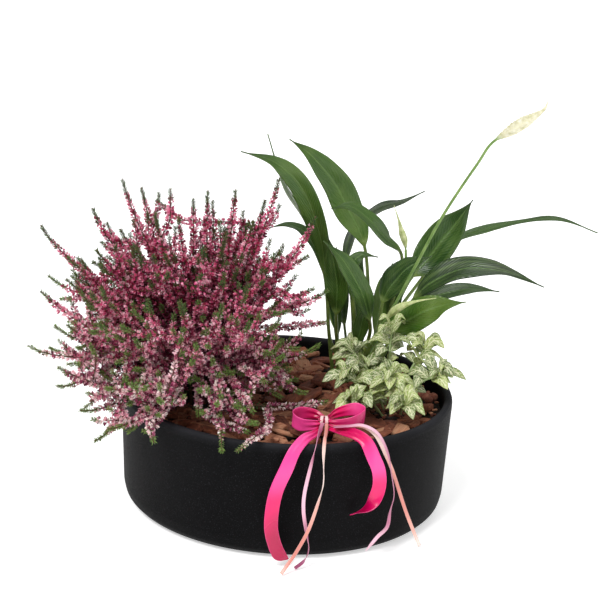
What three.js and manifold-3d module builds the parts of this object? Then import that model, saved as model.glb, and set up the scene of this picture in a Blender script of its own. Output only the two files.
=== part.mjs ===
// A mixed planter: a round black bowl with a heather, a peace lily and a nerve plant in bark mulch,
// dressed with a satin bow and thin hanging ribbons. Millimetres, +Z up.
// The origin is the centre of the bowl's flat underside. -Y is the front, where the bow lies.

import * as THREE from 'three';
import { mergeVertices } from 'three/addons/utils/BufferGeometryUtils.js';
import Module from 'manifold-3d';

const wasm = await Module();
wasm.setup();

// ---- driving dimensions -------------------------------------------------------------------

const POT_RADIUS = 150;
const POT_HEIGHT = 106;
const POT_WALL = 8;
const POT_FOOT_RADIUS = 130;
const POT_FLOOR = 8;
const POT_SIDES = 40;
const CLEARANCE = 0.3;

const SOIL_TOP = 88;
const ROOT_BALL_RISE = 7;
const HOLE_DEPTH = 13.5;
const HOLE_SIDES = 5;

const BARK_THICKNESS = 4.5;
const BARK_CHIPS = 36;
const CHIP_LENGTH = 32;
const CHIP_WIDTH = 18;
const CHIP_THICKNESS = 5;
const CHIP_TILT = 0.2;
const BARK_HEAP = { x: 30, y: -104, radius: 26, height: 10 };
const BARK_TOP = SOIL_TOP + CLEARANCE + BARK_THICKNESS;

const PELLET_RADIUS = 4;
const PELLET_PLACE = { x: 127, y: 8 };

const HEATHER_CROWN = { x: -82, y: -10, radius: 33 };
const HEATHER_STEM_RADIUS = 1.3;
const HEATHER_FLOWER_RADIUS = 5;
const HEATHER_RING_STEP = 17;
const HEATHER_LEAST_RINGS = 6;
const HEATHER_SIDES = 4;
const MAIN_BARE_SHARE = 0.42;
const BRANCH_BARE_SHARE = 0.27;
const HEATHER_BRANCH_AT = 4;
const HEATHER_CHAIN = 14;
const HEATHER_ROUNDS = 80;
const HEATHER_ROOM = 2.6;

const LILY_CROWN = { x: 62, y: 78, radius: 26 };
const LILY_BLADE_THICKNESS = 0.9;
const LILY_PETIOLE_RADIUS = 1.8;
const LILY_STALK_RADIUS = 1.5;
const LILY_ROOT_REACH = 20;

const FITTONIA_CROWN = { x: 92, y: -28, radius: 17 };
const FITTONIA_STEM_RADIUS = 1.1;
const FITTONIA_LEAF_LENGTH = 19;
const FITTONIA_LEAF_HALF_WIDTH = 6.4;
const FITTONIA_PAIRS = [0.5, 0.76, 0.96];
const FITTONIA_SIDES = 4;

const RIBBON_WIDTH = 11.5;
const RIBBON_THICKNESS = 0.8;
const STRAND_DIAMETER = 3;
const BOW_KNOT = new THREE.Vector3(33, -106, 112.6);
const KNOT_HOLE = 3.4;
const KNOT_RADIUS = 4.9;

// ---- materials ----------------------------------------------------------------------------

const finish = (color, roughness, metalness = 0) => ({ color, roughness, metalness });
const POT_FINISH = finish(0x1d1d1e, 0.75);
const SOIL_FINISH = finish(0x2a1c14, 1.0);
const BARK_FINISH = finish(0x7a4430, 0.9);
const PELLET_FINISH = finish(0x8a4a34, 0.85);
const HEATHER_FINISH = finish(0xb04a78, 0.8);
const LILY_FINISH = finish(0x2c5a1c, 0.4);
const BLOOM_FINISH = finish(0xdfe3b8, 0.6);
const FITTONIA_FINISH = finish(0x9db67a, 0.6);
const RIBBON_FINISH = finish(0xf02a72, 0.35);
const STRAND_FINISH = finish(0xf0b4a8, 0.4);
const KNOT_FINISH = finish(0xf6d8dc, 0.4);

const planter = new THREE.Group();

function addPiece(name, geometry, look) {
  const mesh = new THREE.Mesh(geometry, new THREE.MeshStandardMaterial(look));
  mesh.name = name;
  planter.add(mesh);
}

// ---- small tools --------------------------------------------------------------------------

const vec = (x, y, z) => new THREE.Vector3(x, y, z);
const UP = vec(0, 0, 1);

function randomFrom(seed) {
  let state = seed >>> 0;
  return () => {
    state = (state + 0x6d2b79f5) >>> 0;
    let mixed = Math.imul(state ^ (state >>> 15), 1 | state);
    mixed = (mixed + Math.imul(mixed ^ (mixed >>> 7), 61 | mixed)) ^ mixed;
    return ((mixed ^ (mixed >>> 14)) >>> 0) / 4294967296;
  };
}

function merged(geometry) {
  geometry.deleteAttribute('normal');
  geometry.deleteAttribute('uv');
  return mergeVertices(geometry, 1e-4);
}

function toSolid(geometry) {
  const whole = merged(geometry);
  return new wasm.Manifold(new wasm.Mesh({
    numProp: 3,
    vertProperties: Float32Array.from(whole.attributes.position.array),
    triVerts: Uint32Array.from(whole.index.array),
  }));
}

// The largest body alone: a loose scrap is dropped, and a hollow that fusing sealed is filled.
function toGeometry(solid) {
  const [body] = solid.decompose().sort((a, b) => b.volume() - a.volume());
  const mesh = body.getMesh();
  const geometry = new THREE.BufferGeometry();
  geometry.setAttribute('position', new THREE.BufferAttribute(mesh.vertProperties, 3));
  geometry.setIndex(new THREE.BufferAttribute(mesh.triVerts, 1));
  return geometry;
}

function fuse(geometries) {
  return toGeometry(geometries.map(toSolid).reduce((whole, piece) => whole.add(piece)));
}

// A closed skin over a row of rings. A ring of a blade runs over the top face and back under it,
// and its two faces are split along the same diagonals. Blade ends are strips, round ends are fans.
function loft(rings, isBlade) {
  const size = rings[0].length;
  const points = rings.flat();
  const triangles = [];
  for (let row = 0; row + 1 < rings.length; row += 1) {
    for (let k = 0; k < size; k += 1) {
      const a = row * size + k;
      const b = row * size + ((k + 1) % size);
      const c = b + size;
      const d = a + size;
      const underside = isBlade && k >= size / 2;
      if (underside) triangles.push(a, b, d, b, c, d);
      else triangles.push(a, b, c, a, c, d);
    }
  }
  const last = (rings.length - 1) * size;
  if (isBlade) {
    for (let k = 0; k + 1 < size / 2; k += 1) {
      const below = size - 1 - k;
      triangles.push(k, below, below - 1, k, below - 1, k + 1);
      triangles.push(last + k, last + below - 1, last + below, last + k, last + k + 1, last + below - 1);
    }
  } else {
    for (let k = 1; k + 1 < size; k += 1) {
      triangles.push(0, k + 1, k, last, last + k, last + k + 1);
    }
  }
  return skin(points, triangles);
}

function skin(points, triangles) {
  let volume = 0;
  for (let i = 0; i < triangles.length; i += 3) {
    const [a, b, c] = [points[triangles[i]], points[triangles[i + 1]], points[triangles[i + 2]]];
    volume += a.dot(vec(0, 0, 0).crossVectors(b, c));
  }
  const geometry = new THREE.BufferGeometry().setFromPoints(points);
  geometry.setIndex(volume > 0 ? triangles : triangles.toReversed());
  return geometry;
}

function frameAt(curve, share, faceHint) {
  const centre = curve.getPoint(share);
  const along = curve.getTangent(share);
  const side = vec(0, 0, 0).crossVectors(along, faceHint).normalize();
  const face = vec(0, 0, 0).crossVectors(side, along).normalize();
  return { centre, side, face };
}

const offset = (frame, across, out) => frame.centre.clone()
  .addScaledVector(frame.side, across)
  .addScaledVector(frame.face, out);

function roundRing(frame, radiusAt, sides, turn = 0) {
  return Array.from({ length: sides }, (_, k) => {
    const angle = turn + (k * 2 * Math.PI) / sides;
    const radius = radiusAt(k);
    return offset(frame, radius * Math.cos(angle), radius * Math.sin(angle));
  });
}


// The frame of an upright stem at a point, turned as frameAt turns it.
function uprightFrame(point, faceHint) {
  const side = vec(0, 0, 0).crossVectors(UP, faceHint).normalize();
  return { centre: point, side, face: vec(0, 0, 0).crossVectors(side, UP) };
}

const smoothCurve = (points) => new THREE.CatmullRomCurve3(points, false, 'catmullrom', 0.5);
const fromList = (points) => points.map(([x, y, z]) => vec(x, y, z));

function cylinderBetween(x, y, low, high, radius, sides) {
  const geometry = new THREE.CylinderGeometry(radius, radius, high - low, sides);
  geometry.rotateX(Math.PI / 2);
  geometry.translate(x, y, (low + high) / 2);
  return geometry;
}

// Places on a root ball, in a sunflower's order: stem number `order` of any count.
function rootPlace(crown, order, spacing) {
  const radius = spacing * Math.sqrt(order + 0.5);
  const angle = order * Math.PI * (3 - Math.sqrt(5));
  return { x: crown.x + radius * Math.cos(angle), y: crown.y + radius * Math.sin(angle) };
}

const ROOT_TOP = SOIL_TOP + ROOT_BALL_RISE;
const holes = [];

// Each stem gets the place on the root ball that suits it: places are swapped while that helps.
// It stands there in a hole of its own.
function takeRoots(crown, spacing, wishes, stemRadius) {
  const places = wishes.map((_, order) => rootPlace(crown, order, spacing));
  const miss = (place, wish) => (place.x - wish.x) ** 2 + (place.y - wish.y) ** 2;
  for (let round = 0; round < wishes.length; round += 1) {
    for (let a = 0; a < wishes.length; a += 1) {
      for (let b = 0; b < a; b += 1) {
        const kept = miss(places[a], wishes[a]) + miss(places[b], wishes[b]);
        const swapped = miss(places[b], wishes[a]) + miss(places[a], wishes[b]);
        if (swapped < kept) [places[a], places[b]] = [places[b], places[a]];
      }
    }
  }
  return places.map(({ x, y }, order) => {
    const radius = (stemRadius(order) + CLEARANCE + 0.1) / Math.cos(Math.PI / HOLE_SIDES);
    holes.push({ x, y, radius });
    return vec(x, y, ROOT_TOP);
  });
}

const holeFloor = (root) => vec(root.x, root.y, ROOT_TOP - HOLE_DEPTH + CLEARANCE);

// ---- the bowl -----------------------------------------------------------------------------

const innerRadiusAt = (z) => POT_RADIUS - POT_WALL - 3.5 * (1 - (z - 18) / (POT_HEIGHT - 22));

function makePot() {
  const lip = POT_HEIGHT;
  const profile = [
    [0, 0], [POT_FOOT_RADIUS, 0], [138.8, 2.4], [144.2, 8], [146.2, 16.5],
    [POT_RADIUS, lip - 4], [POT_RADIUS - 1.5, lip - 0.8], [POT_RADIUS - 4, lip],
    [POT_RADIUS - 6.5, lip - 0.8], [POT_RADIUS - POT_WALL, lip - 4], [innerRadiusAt(18), 18],
    [POT_FOOT_RADIUS, POT_FLOOR + 1], [0, POT_FLOOR],
  ];
  addPiece('pot', turned(profile, POT_SIDES), POT_FINISH);
}

function turned(profile, sides) {
  const outline = profile.map(([radius, z]) => new THREE.Vector2(radius, z));
  return new THREE.LatheGeometry(outline, sides).rotateX(Math.PI / 2);
}

// ---- soil with its three root balls and the stems' holes ----------------------------------

function makeSoil() {
  const gap = CLEARANCE + 0.1;
  const profile = [
    [0, POT_FLOOR + gap], [POT_FOOT_RADIUS - 1, POT_FLOOR + 1 + gap], [innerRadiusAt(18) - gap, 18 + gap],
    [innerRadiusAt(SOIL_TOP) - gap, SOIL_TOP], [0, SOIL_TOP],
  ];
  let soil = toSolid(turned(profile, POT_SIDES));
  for (const crown of [HEATHER_CROWN, LILY_CROWN, FITTONIA_CROWN]) {
    const radius = crown.radius - gap;
    soil = soil.add(toSolid(cylinderBetween(crown.x, crown.y, SOIL_TOP - 6, ROOT_TOP, radius, 16)));
  }
  for (const hole of holes) {
    const low = ROOT_TOP - HOLE_DEPTH;
    const drill = cylinderBetween(hole.x, hole.y, low, ROOT_TOP + 4, hole.radius, HOLE_SIDES);
    soil = soil.subtract(toSolid(drill));
  }
  addPiece('soil', toGeometry(soil), SOIL_FINISH);
}

// ---- bark mulch ---------------------------------------------------------------------------

function chip(x, y, z, turn, size, random) {
  const geometry = new THREE.BoxGeometry(CHIP_LENGTH * size, CHIP_WIDTH * size, CHIP_THICKNESS);
  const corners = merged(geometry);
  const position = corners.attributes.position;
  for (let k = 0; k < position.count; k += 1) {
    const shrink = 0.72 + 0.28 * random();
    position.setXYZ(k, position.getX(k) * shrink, position.getY(k) * (0.6 + 0.4 * random()),
      position.getZ(k) * (0.7 + 0.3 * random()));
  }
  corners.rotateX((random() - 0.5) * 2 * CHIP_TILT);
  corners.rotateY((random() - 0.5) * 2 * CHIP_TILT);
  corners.rotateZ(turn);
  corners.translate(x, y, z);
  return corners;
}

function heapHeight(x, y) {
  const away = Math.hypot(x - BARK_HEAP.x, y - BARK_HEAP.y) / BARK_HEAP.radius;
  return away < 1 ? BARK_HEAP.height * (1 - away * away) : 0;
}

function makeBark() {
  const random = randomFrom(11);
  const low = SOIL_TOP + CLEARANCE;
  const edge = innerRadiusAt(low) - CLEARANCE - 0.1;
  let bark = toSolid(turned([[0, low], [edge, low], [edge, BARK_TOP], [0, BARK_TOP]], POT_SIDES));
  const heap = turned([[0, -2], [BARK_HEAP.radius, -2], [BARK_HEAP.radius, 0],
    [BARK_HEAP.radius * 0.7, BARK_HEAP.height * 0.5], [BARK_HEAP.radius * 0.35, BARK_HEAP.height * 0.88],
    [0, BARK_HEAP.height]], 12).translate(BARK_HEAP.x, BARK_HEAP.y, BARK_TOP);
  bark = bark.add(toSolid(heap));
  for (let order = 0; order < BARK_CHIPS; order += 1) {
    const radius = 128 * Math.sqrt((order + 0.5) / BARK_CHIPS);
    const angle = order * Math.PI * (3 - Math.sqrt(5)) + 0.4;
    const x = radius * Math.cos(angle);
    const y = radius * Math.sin(angle);
    const tangential = angle + Math.PI / 2;
    const turn = radius > 115 ? tangential + 0.3 * (random() - 0.5) : random() * Math.PI;
    const z = BARK_TOP + 0.9 + 1.4 * random() + heapHeight(x, y);
    const size = 0.75 + 0.35 * random();
    const piece = chip(x, y, z, turn, size, random);
    const nearPellets = Math.hypot(x - PELLET_PLACE.x, y - PELLET_PLACE.y) < 28;
    if (!nearPellets) bark = bark.add(toSolid(piece));
  }
  const seat = new THREE.BoxGeometry(24, 13, 5).rotateZ(0.2)
    .translate(BOW_KNOT.x, BOW_KNOT.y, BOW_KNOT.z - KNOT_RADIUS - CLEARANCE - 2.5);
  bark = bark.add(toSolid(seat));
  for (const crown of [HEATHER_CROWN, LILY_CROWN, FITTONIA_CROWN]) {
    bark = bark.subtract(toSolid(cylinderBetween(crown.x, crown.y, low - 5, low + 40, crown.radius, 16)));
  }
  addPiece('bark_mulch', toGeometry(bark), BARK_FINISH);
}

function makePellets() {
  const spots = [[0, 0], [7, 1], [1, 7], [-6, 3], [2, -7]];
  const balls = spots.map(([x, y], order) => {
    const radius = PELLET_RADIUS + 0.3 * Math.sin(order * 2.1);
    const ball = new THREE.SphereGeometry(radius, 6, 4);
    return ball.translate(PELLET_PLACE.x + x, PELLET_PLACE.y + y, BARK_TOP + CLEARANCE + radius);
  });
  addPiece('clay_pellets', fuse(balls), PELLET_FINISH);
}

// ---- heather ------------------------------------------------------------------------------

// The tips of each spray's flower spikes. The first is the main stem's, the others branch off it.
const heatherSprays = [
  [[-227, -55, 150], [-214, -22, 138], [-198, -78, 122]],
  [[-205, -50, 168], [-224, -5, 185], [-188, -90, 182]],
  [[-226, 5, 243], [-224, 38, 187], [-198, -28, 204]],
  [[-181, -62, 203], [-168, -96, 213], [-188, -12, 219]],
  [[-180, 5, 261], [-169, -50, 238], [-172, 45, 238]],
  [[-154, 5, 289], [-140, 35, 275], [-152, -22, 250]],
  [[-121, -32, 269], [-134, -68, 249]],
  [[-102, -15, 262], [-92, 22, 270]],
  [[-78, 0, 283], [-76, -68, 247], [-60, -38, 250]],
  [[-54, 10, 283], [-36, -18, 262], [-60, 46, 242]],
  [[-16, 20, 293], [-28, 30, 270], [-12, -30, 240]],
  [[18, 10, 262], [32, -20, 203]],
  [[-127, -125, 184], [-158, -117, 193], [-118, -115, 216]],
  [[-75, -140, 186], [-56, -112, 214], [-91, -122, 217]],
  [[-33, -120, 201], [-10, -88, 192], [-36, -82, 223]],
  [[-175, -99, 109], [-161, -110, 86], [-193, -108, 150]],
  [[-116, -148, 112], [-148, -125, 103], [-104, -152, 142], [-128, -146, 152]],
  [[-50, -160, 103], [-56, -148, 140], [-22, -154, 126]],
  [[27, -34, 157], [17, -78, 127], [-8, -62, 165]],
  [[-195, 75, 170], [-160, 100, 195], [-208, 52, 140]],
  [[-120, 118, 200], [-88, 125, 185], [-132, 82, 238]],
  [[-52, 118, 182], [-18, 90, 205], [-62, 84, 232]],
];

function bezier(start, startPull, endPull, end, share) {
  const rest = 1 - share;
  return start.clone().multiplyScalar(rest * rest * rest)
    .addScaledVector(startPull, 3 * rest * rest * share)
    .addScaledVector(endPull, 3 * rest * share * share)
    .addScaledVector(end, share * share * share);
}

// A chain of points from a root, or from a place on the main stem, up to a tip that turns skyward.
function stemChain(start, leave, tip) {
  const reach = tip.clone().sub(start);
  const length = reach.length();
  const arrive = reach.clone().divideScalar(length).addScaledVector(UP, 0.35).normalize();
  const startPull = start.clone().addScaledVector(leave, 0.36 * length);
  const endPull = tip.clone().addScaledVector(arrive, -0.3 * length);
  return Array.from({ length: HEATHER_CHAIN },
    (_, k) => bezier(start, startPull, endPull, tip, k / (HEATHER_CHAIN - 1)));
}

function makeChains() {
  const middle = vec(HEATHER_CROWN.x, HEATHER_CROWN.y, ROOT_TOP);
  const wishes = heatherSprays.map(([tip]) => {
    const reach = vec(...tip).sub(middle);
    const lean = Math.atan2(Math.hypot(reach.x, reach.y), reach.z) / (0.6 * Math.PI);
    return vec(reach.x, reach.y, 0).setLength(28 * Math.min(1, lean)).add(middle);
  });
  const roots = takeRoots(HEATHER_CROWN, 5.9, wishes, () => HEATHER_STEM_RADIUS);
  return heatherSprays.flatMap((spray, order) => {
    const [tip, ...sideTips] = fromList(spray);
    const main = stemChain(roots[order], UP, tip);
    const fork = main[HEATHER_BRANCH_AT];
    const leave = main[HEATHER_BRANCH_AT + 1].clone().sub(main[HEATHER_BRANCH_AT - 1]).normalize();
    const branches = sideTips.map((sideTip) => stemChain(fork, leave, sideTip));
    return [main, ...branches].map((points, rank) => ({ spray: order, points, parent: rank ? main : null }));
  });
}

const bareShare = (chain) => (chain.parent ? BRANCH_BARE_SHARE : MAIN_BARE_SHARE);

function spikeRadius(chain, share) {
  if (share < bareShare(chain)) return HEATHER_STEM_RADIUS;
  const taper = Math.min(1, (1 - share) / 0.32);
  return HEATHER_FLOWER_RADIUS * (0.42 + 0.58 * taper);
}

// Sprays that would touch are bent clear of each other, and all stay above the bark and the rim.
function bendClear(chains) {
  const size = HEATHER_CHAIN;
  const free = (k) => Math.min(1, Math.max(0, (k - 1) / 3));
  for (let round = 0; round < HEATHER_ROUNDS; round += 1) {
    const shifts = chains.map(() => Array.from({ length: size }, () => vec(0, 0, 0)));
    for (let a = 0; a < chains.length; a += 1) {
      for (let b = a + 1; b < chains.length; b += 1) {
        if (chains[a].spray !== chains[b].spray) pushApart(chains[a], chains[b], shifts[a], shifts[b]);
      }
    }
    chains.forEach((chain, order) => {
      for (let k = 1; k < size; k += 1) {
        const spread = vec(0, 0, 0);
        for (let near = -2; near <= 2; near += 1) {
          const other = Math.min(size - 1, Math.max(0, k + near));
          spread.addScaledVector(shifts[order][other], [0.5, 0.8, 1, 0.8, 0.5][near + 2]);
        }
        chain.points[k].addScaledVector(spread, 0.45 * (chain.parent ? 1 : free(k)));
        keepOut(chain.points[k], spikeRadius(chain, k / (size - 1)), chain.parent ? size : k);
      }
      if (chain.parent) {
        const drift = chain.parent[HEATHER_BRANCH_AT].clone().sub(chain.points[0]);
        chain.points.forEach((point, k) => point.addScaledVector(drift, 1 - k / (size - 1)));
      }
    });
  }
}

function pushApart(first, second, shiftFirst, shiftSecond) {
  for (let i = 1; i < HEATHER_CHAIN; i += 1) {
    for (let j = 1; j < HEATHER_CHAIN; j += 1) {
      const apart = first.points[i].clone().sub(second.points[j]);
      const need = spikeRadius(first, i / (HEATHER_CHAIN - 1)) + spikeRadius(second, j / (HEATHER_CHAIN - 1))
        + HEATHER_ROOM;
      const distance = apart.length();
      if (distance < need) {
        apart.multiplyScalar((need - distance) / (2 * distance + 1e-6));
        shiftFirst[i].add(apart);
        shiftSecond[j].sub(apart);
      }
    }
  }
}

function keepOut(point, radius, rank) {
  const away = Math.hypot(point.x, point.y);
  const room = radius + 4;
  if (rank < 3) return;
  const beyond = away - POT_RADIUS;
  const above = point.z - POT_HEIGHT;
  if (away < POT_RADIUS - POT_WALL - 8) point.z = Math.max(point.z, BARK_TOP + 7 + room);
  else if (beyond < 0) point.z = Math.max(point.z, POT_HEIGHT + room);
  else if (above > 0 && Math.hypot(beyond, above) < room) {
    point.z = POT_HEIGHT + room * (above / Math.hypot(beyond, above));
    moveOut(point, away, POT_RADIUS + room * (beyond / Math.hypot(beyond, above)));
  } else if (above <= 0 && beyond < room) moveOut(point, away, POT_RADIUS + room);
}

function moveOut(point, away, radius) {
  point.x *= radius / away;
  point.y *= radius / away;
}

// A flower spike: a bare stem below, then rings of buds that stand out in turn, and a slim tip.
function heatherSpike(chain, random) {
  const points = chain.points;
  const curve = smoothCurve(points);
  const reach = points[points.length - 1].clone().sub(points[0]);
  const hint = vec(-reach.y, reach.x, 0.01).normalize();
  const length = curve.getLength();
  const rings = [];
  const stem = () => HEATHER_STEM_RADIUS;
  const ring = (frame, radiusAt, turn) => rings.push(roundRing(frame, radiusAt, HEATHER_SIDES, turn));
  if (!chain.parent) {
    ring(uprightFrame(holeFloor(points[0]), hint), stem);
    ring(uprightFrame(points[0], hint), stem);
  }
  for (const share of chain.parent ? [0] : [0.1, 0.26]) ring(frameAt(curve, share, hint), stem);
  const bare = bareShare(chain);
  const rows = Math.max(HEATHER_LEAST_RINGS, Math.round((length * (1 - bare)) / HEATHER_RING_STEP));
  for (let row = 0; row <= rows; row += 1) {
    const share = bare + (1 - bare) * (row / rows);
    const body = row === 0 ? HEATHER_STEM_RADIUS : spikeRadius(chain, share);
    const isEnd = row === 0 || row === rows;
    const bud = (k) => (isEnd ? 0.6 : 0.74 + 0.3 * ((k + row) % 2) + 0.16 * random());
    ring(frameAt(curve, share, hint), (k) => body * bud(k), row * (Math.PI / HEATHER_SIDES));
  }
  return loft(rings, false);
}

function makeHeather() {
  const chains = makeChains();
  bendClear(chains);
  const random = randomFrom(23);
  heatherSprays.forEach((_, spray) => {
    const own = chains.filter((chain) => chain.spray === spray);
    const spikes = own.map((chain) => heatherSpike(chain, random));
    addPiece(`heather_spray_${String(spray + 1).padStart(2, '0')}`, fuse(spikes), HEATHER_FINISH);
  });
}

// ---- peace lily ---------------------------------------------------------------------------

// Each leaf: its path from just above the root ball to the tip, the blade's greatest half width,
// and the way its face looks.
const lilyLeaves = {
  left_arch: { path: [[36, 84, 135], [32, 82, 173], [24, 70, 224], [5, 40, 278], [-19, 20, 306],
    [-50, 0, 319]], half: 11, face: [-0.2, -0.8, 0.5] },
  left_back: { path: [[43, 96, 130], [31, 110, 185], [12, 115, 227], [-13, 110, 267], [-30, 105, 315]],
    half: 9, face: [-0.9, -0.3, 0.3] },
  top_left: { path: [[72, 88, 140], [70, 95, 191], [63, 100, 223], [50, 100, 247], [36, 95, 273],
    [12, 80, 302], [-9, 70, 318]], half: 16, face: [0.3, -1, 0.35] },
  mid_arch: { path: [[91, 88, 146], [102, 91, 203], [86, 75, 228], [70, 60, 248], [50, 50, 263],
    [32, 45, 261]], half: 9, face: [0, -0.7, 0.7] },
  back_curl: { path: [[60, 104, 130], [55, 122, 173], [50, 127, 197], [58, 135, 223], [80, 140, 241],
    [102, 140, 249], [122, 135, 261]], half: 9, face: [0.4, -0.6, -0.5] },
  right_tall: { path: [[93, 98, 135], [110, 113, 174], [126, 118, 196], [140, 118, 218], [154, 115, 239],
    [166, 108, 261]], half: 19, face: [-0.2, -0.9, 0.35] },
  right_long: { path: [[92, 114, 130], [122, 133, 170], [150, 142, 208], [184, 137, 227], [219, 125, 239],
    [250, 110, 246], [284, 95, 238]], half: 8, face: [0.1, -0.7, 0.8] },
  right_broad: { path: [[92, 62, 138], [108, 47, 172], [125, 38, 198], [152, 32, 215], [187, 22, 218],
    [226, 12, 206]], half: 15, face: [0, -0.55, 0.9] },
  right_under: { path: [[96, 80, 130], [114, 86, 158], [138, 89, 172], [167, 84, 181], [194, 74, 182]],
    half: 9, face: [0, -0.6, 0.8] },
  front_right: { path: [[83, 53, 133], [94, 46, 147], [111, 36, 164], [132, 26, 179], [157, 14, 188]],
    half: 16, face: [0.2, -0.9, 0.6] },
  front_left: { path: [[73, 52, 136], [72, 38, 161], [63, 25, 191], [46, 15, 220], [26, 8, 240]],
    half: 11, face: [0.4, -0.9, 0.35] },
  left_broad: { path: [[44, 74, 128], [42, 66, 157], [41, 58, 183], [36, 52, 211], [30, 44, 236]],
    half: 12, face: [-0.2, -1, 0.2] },
  mid_broad: { path: [[82, 80, 136], [86, 79, 167], [95, 77, 187], [109, 75, 203], [128, 71, 214]],
    half: 14, face: [-0.2, -0.8, 0.6] },
  mid_small: { path: [[61, 68, 134], [57, 61, 171], [53, 62, 200], [62, 66, 213], [78, 66, 212]],
    half: 7, face: [0.3, -0.5, 0.8] },
  left_low: { path: [[38, 102, 120], [33, 122, 162], [22, 130, 200], [8, 132, 217], [-8, 130, 223],
    [-26, 124, 220]], half: 6, face: [-0.3, -0.5, 0.8] },
};

// Each bloom: its stalk's path, the spathe's greatest radius and the share of the path at its foot.
const lilyBlooms = {
  tall: { path: [[84, 70, 137], [98, 66, 170], [112, 60, 205], [130, 48, 251], [143, 36, 281], [159, 20, 315],
    [169, 12, 335], [187, 5, 350], [211, -5, 374]], club: 5.5, from: 0.8 },
  small: { path: [[92, 108, 132], [106, 125, 176], [107, 128, 205], [101, 128, 226], [93, 124, 248]],
    club: 3.4, from: 0.6 },
  low: { path: [[76, 60, 132], [83, 46, 150], [94, 33, 170], [110, 22, 183], [130, 12, 191]],
    club: 3.2, from: 0.5 },
};

const LILY_RINGS = [0.14, 0.28, 0.4, 0.5, 0.6, 0.7, 0.8, 0.91, 1];
const LILY_BLADE_FROM = 0.38;

function bladeWidth(share) {
  const inBlade = (share - LILY_BLADE_FROM) / (1 - LILY_BLADE_FROM);
  if (inBlade <= 0) return 0;
  return Math.sin(Math.PI * inBlade ** 0.8) ** 0.85 * (1 - 0.25 * inBlade);
}

// A leaf's section: a keeled blade with a flat-sided petiole below it.
function bladeRing(frame, half, keel, thickness) {
  const over = thickness / 2;
  return [
    offset(frame, -half, over), offset(frame, 0, over - keel), offset(frame, half, over),
    offset(frame, half, -over), offset(frame, 0, -over - keel), offset(frame, -half, -over),
  ];
}

function lilyLeaf(root, leaf) {
  const curve = smoothCurve([root, ...fromList(leaf.path)]);
  const hint = vec(...leaf.face).normalize();
  const stem = LILY_PETIOLE_RADIUS;
  const rings = [holeFloor(root), root].map(
    (point) => bladeRing(uprightFrame(point, hint), stem, 0, 2 * stem));
  for (const share of LILY_RINGS) {
    const width = bladeWidth(share);
    const half = Math.max(share === 1 ? 0.4 : stem * (1 - 0.4 * share), leaf.half * width);
    const thin = Math.min(1, Math.max(0, (share - 0.2) / 0.26));
    const thickness = 2 * stem * (1 - thin) + LILY_BLADE_THICKNESS * thin;
    rings.push(bladeRing(frameAt(curve, share, hint), half, 0.2 * leaf.half * width, thickness));
  }
  return loft(rings, true);
}

function lilyBloom(root, bloom) {
  const curve = smoothCurve([root, ...fromList(bloom.path)]);
  const hint = vec(0.3, -1, 0.2).normalize();
  const sides = 6;
  const rings = [holeFloor(root), root].map(
    (point) => roundRing(uprightFrame(point, hint), () => LILY_STALK_RADIUS, sides));
  const stalk = [[0.15, LILY_STALK_RADIUS], [0.3, 1.4], [0.45, 1.3], [0.6, 1.2], [0.72, 1.2]];
  const { club } = bloom;
  const spathe = [[0, 1.5], [0.2, club], [0.4, club], [0.6, 0.6 * club], [0.8, 1.1], [1, 0.5]];
  const profile = [
    ...stalk.filter(([share]) => share < bloom.from - 0.04),
    ...spathe.map(([share, radius]) => [bloom.from + (1 - bloom.from) * share, radius]),
  ];
  for (const [share, radius] of profile) {
    rings.push(roundRing(frameAt(curve, share, hint), () => radius, sides));
  }
  return loft(rings, false);
}

function makeLily() {
  const stems = [
    ...Object.entries(lilyLeaves).map(([name, leaf]) => ({ name: `lily_leaf_${name}`, leaf })),
    ...Object.entries(lilyBlooms).map(([name, bloom]) => ({ name: `lily_bloom_${name}`, bloom })),
  ];
  const crown = vec(LILY_CROWN.x, LILY_CROWN.y, 0);
  const wishes = stems.map(({ leaf, bloom }) => {
    const [x, y] = (leaf ?? bloom).path[0];
    return vec(x, y, 0).sub(crown).clampLength(0, LILY_ROOT_REACH).add(crown);
  });
  const widest = (order) => (stems[order].leaf ? LILY_PETIOLE_RADIUS * Math.SQRT2 : LILY_STALK_RADIUS);
  const roots = takeRoots(LILY_CROWN, 4.9, wishes, widest);
  stems.forEach(({ name, leaf, bloom }, order) => {
    if (leaf) addPiece(name, lilyLeaf(roots[order], leaf), LILY_FINISH);
    else addPiece(name, lilyBloom(roots[order], bloom), BLOOM_FINISH);
  });
}

// ---- nerve plant --------------------------------------------------------------------------

// The top of each stem, and the turn of its lowest pair of leaves.
const fittoniaStems = [
  { top: [56, 0, 142], turn: 0.5 },
  { top: [92, 14, 160], turn: 1.2 },
  { top: [124, 6, 147], turn: 0.5 },
  { top: [136, -32, 134], turn: 1.0 },
  { top: [52, -34, 128], turn: 0.9 },
  { top: [56, -66, 116], turn: 0.4 },
  { top: [102, -73, 117], turn: 1.0 },
  { top: [90, -40, 132], turn: 0.8 },
];

function fittoniaLeaf(start, away, lift, length, half) {
  const flat = vec(Math.cos(away), Math.sin(away), 0);
  start = start.clone().addScaledVector(flat, 0.5);
  const middle = start.clone().addScaledVector(flat, 0.5 * length).addScaledVector(UP, lift * length);
  const tip = start.clone().addScaledVector(flat, length).addScaledVector(UP, (lift - 0.3) * length);
  const curve = smoothCurve([start, middle, tip]);
  const rings = [[0, 0.05], [0.34, 0.95], [0.7, 0.85], [1, 0.08]].map(([share, width]) => {
    const frame = frameAt(curve, share, UP);
    const edge = half * width;
    const section = [[-edge, 0.2], [0, 0.7], [edge, 0.2], [0, -0.7]];
    return section.map(([across, out]) => offset(frame, across, out));
  });
  return loft(rings, false);
}

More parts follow.
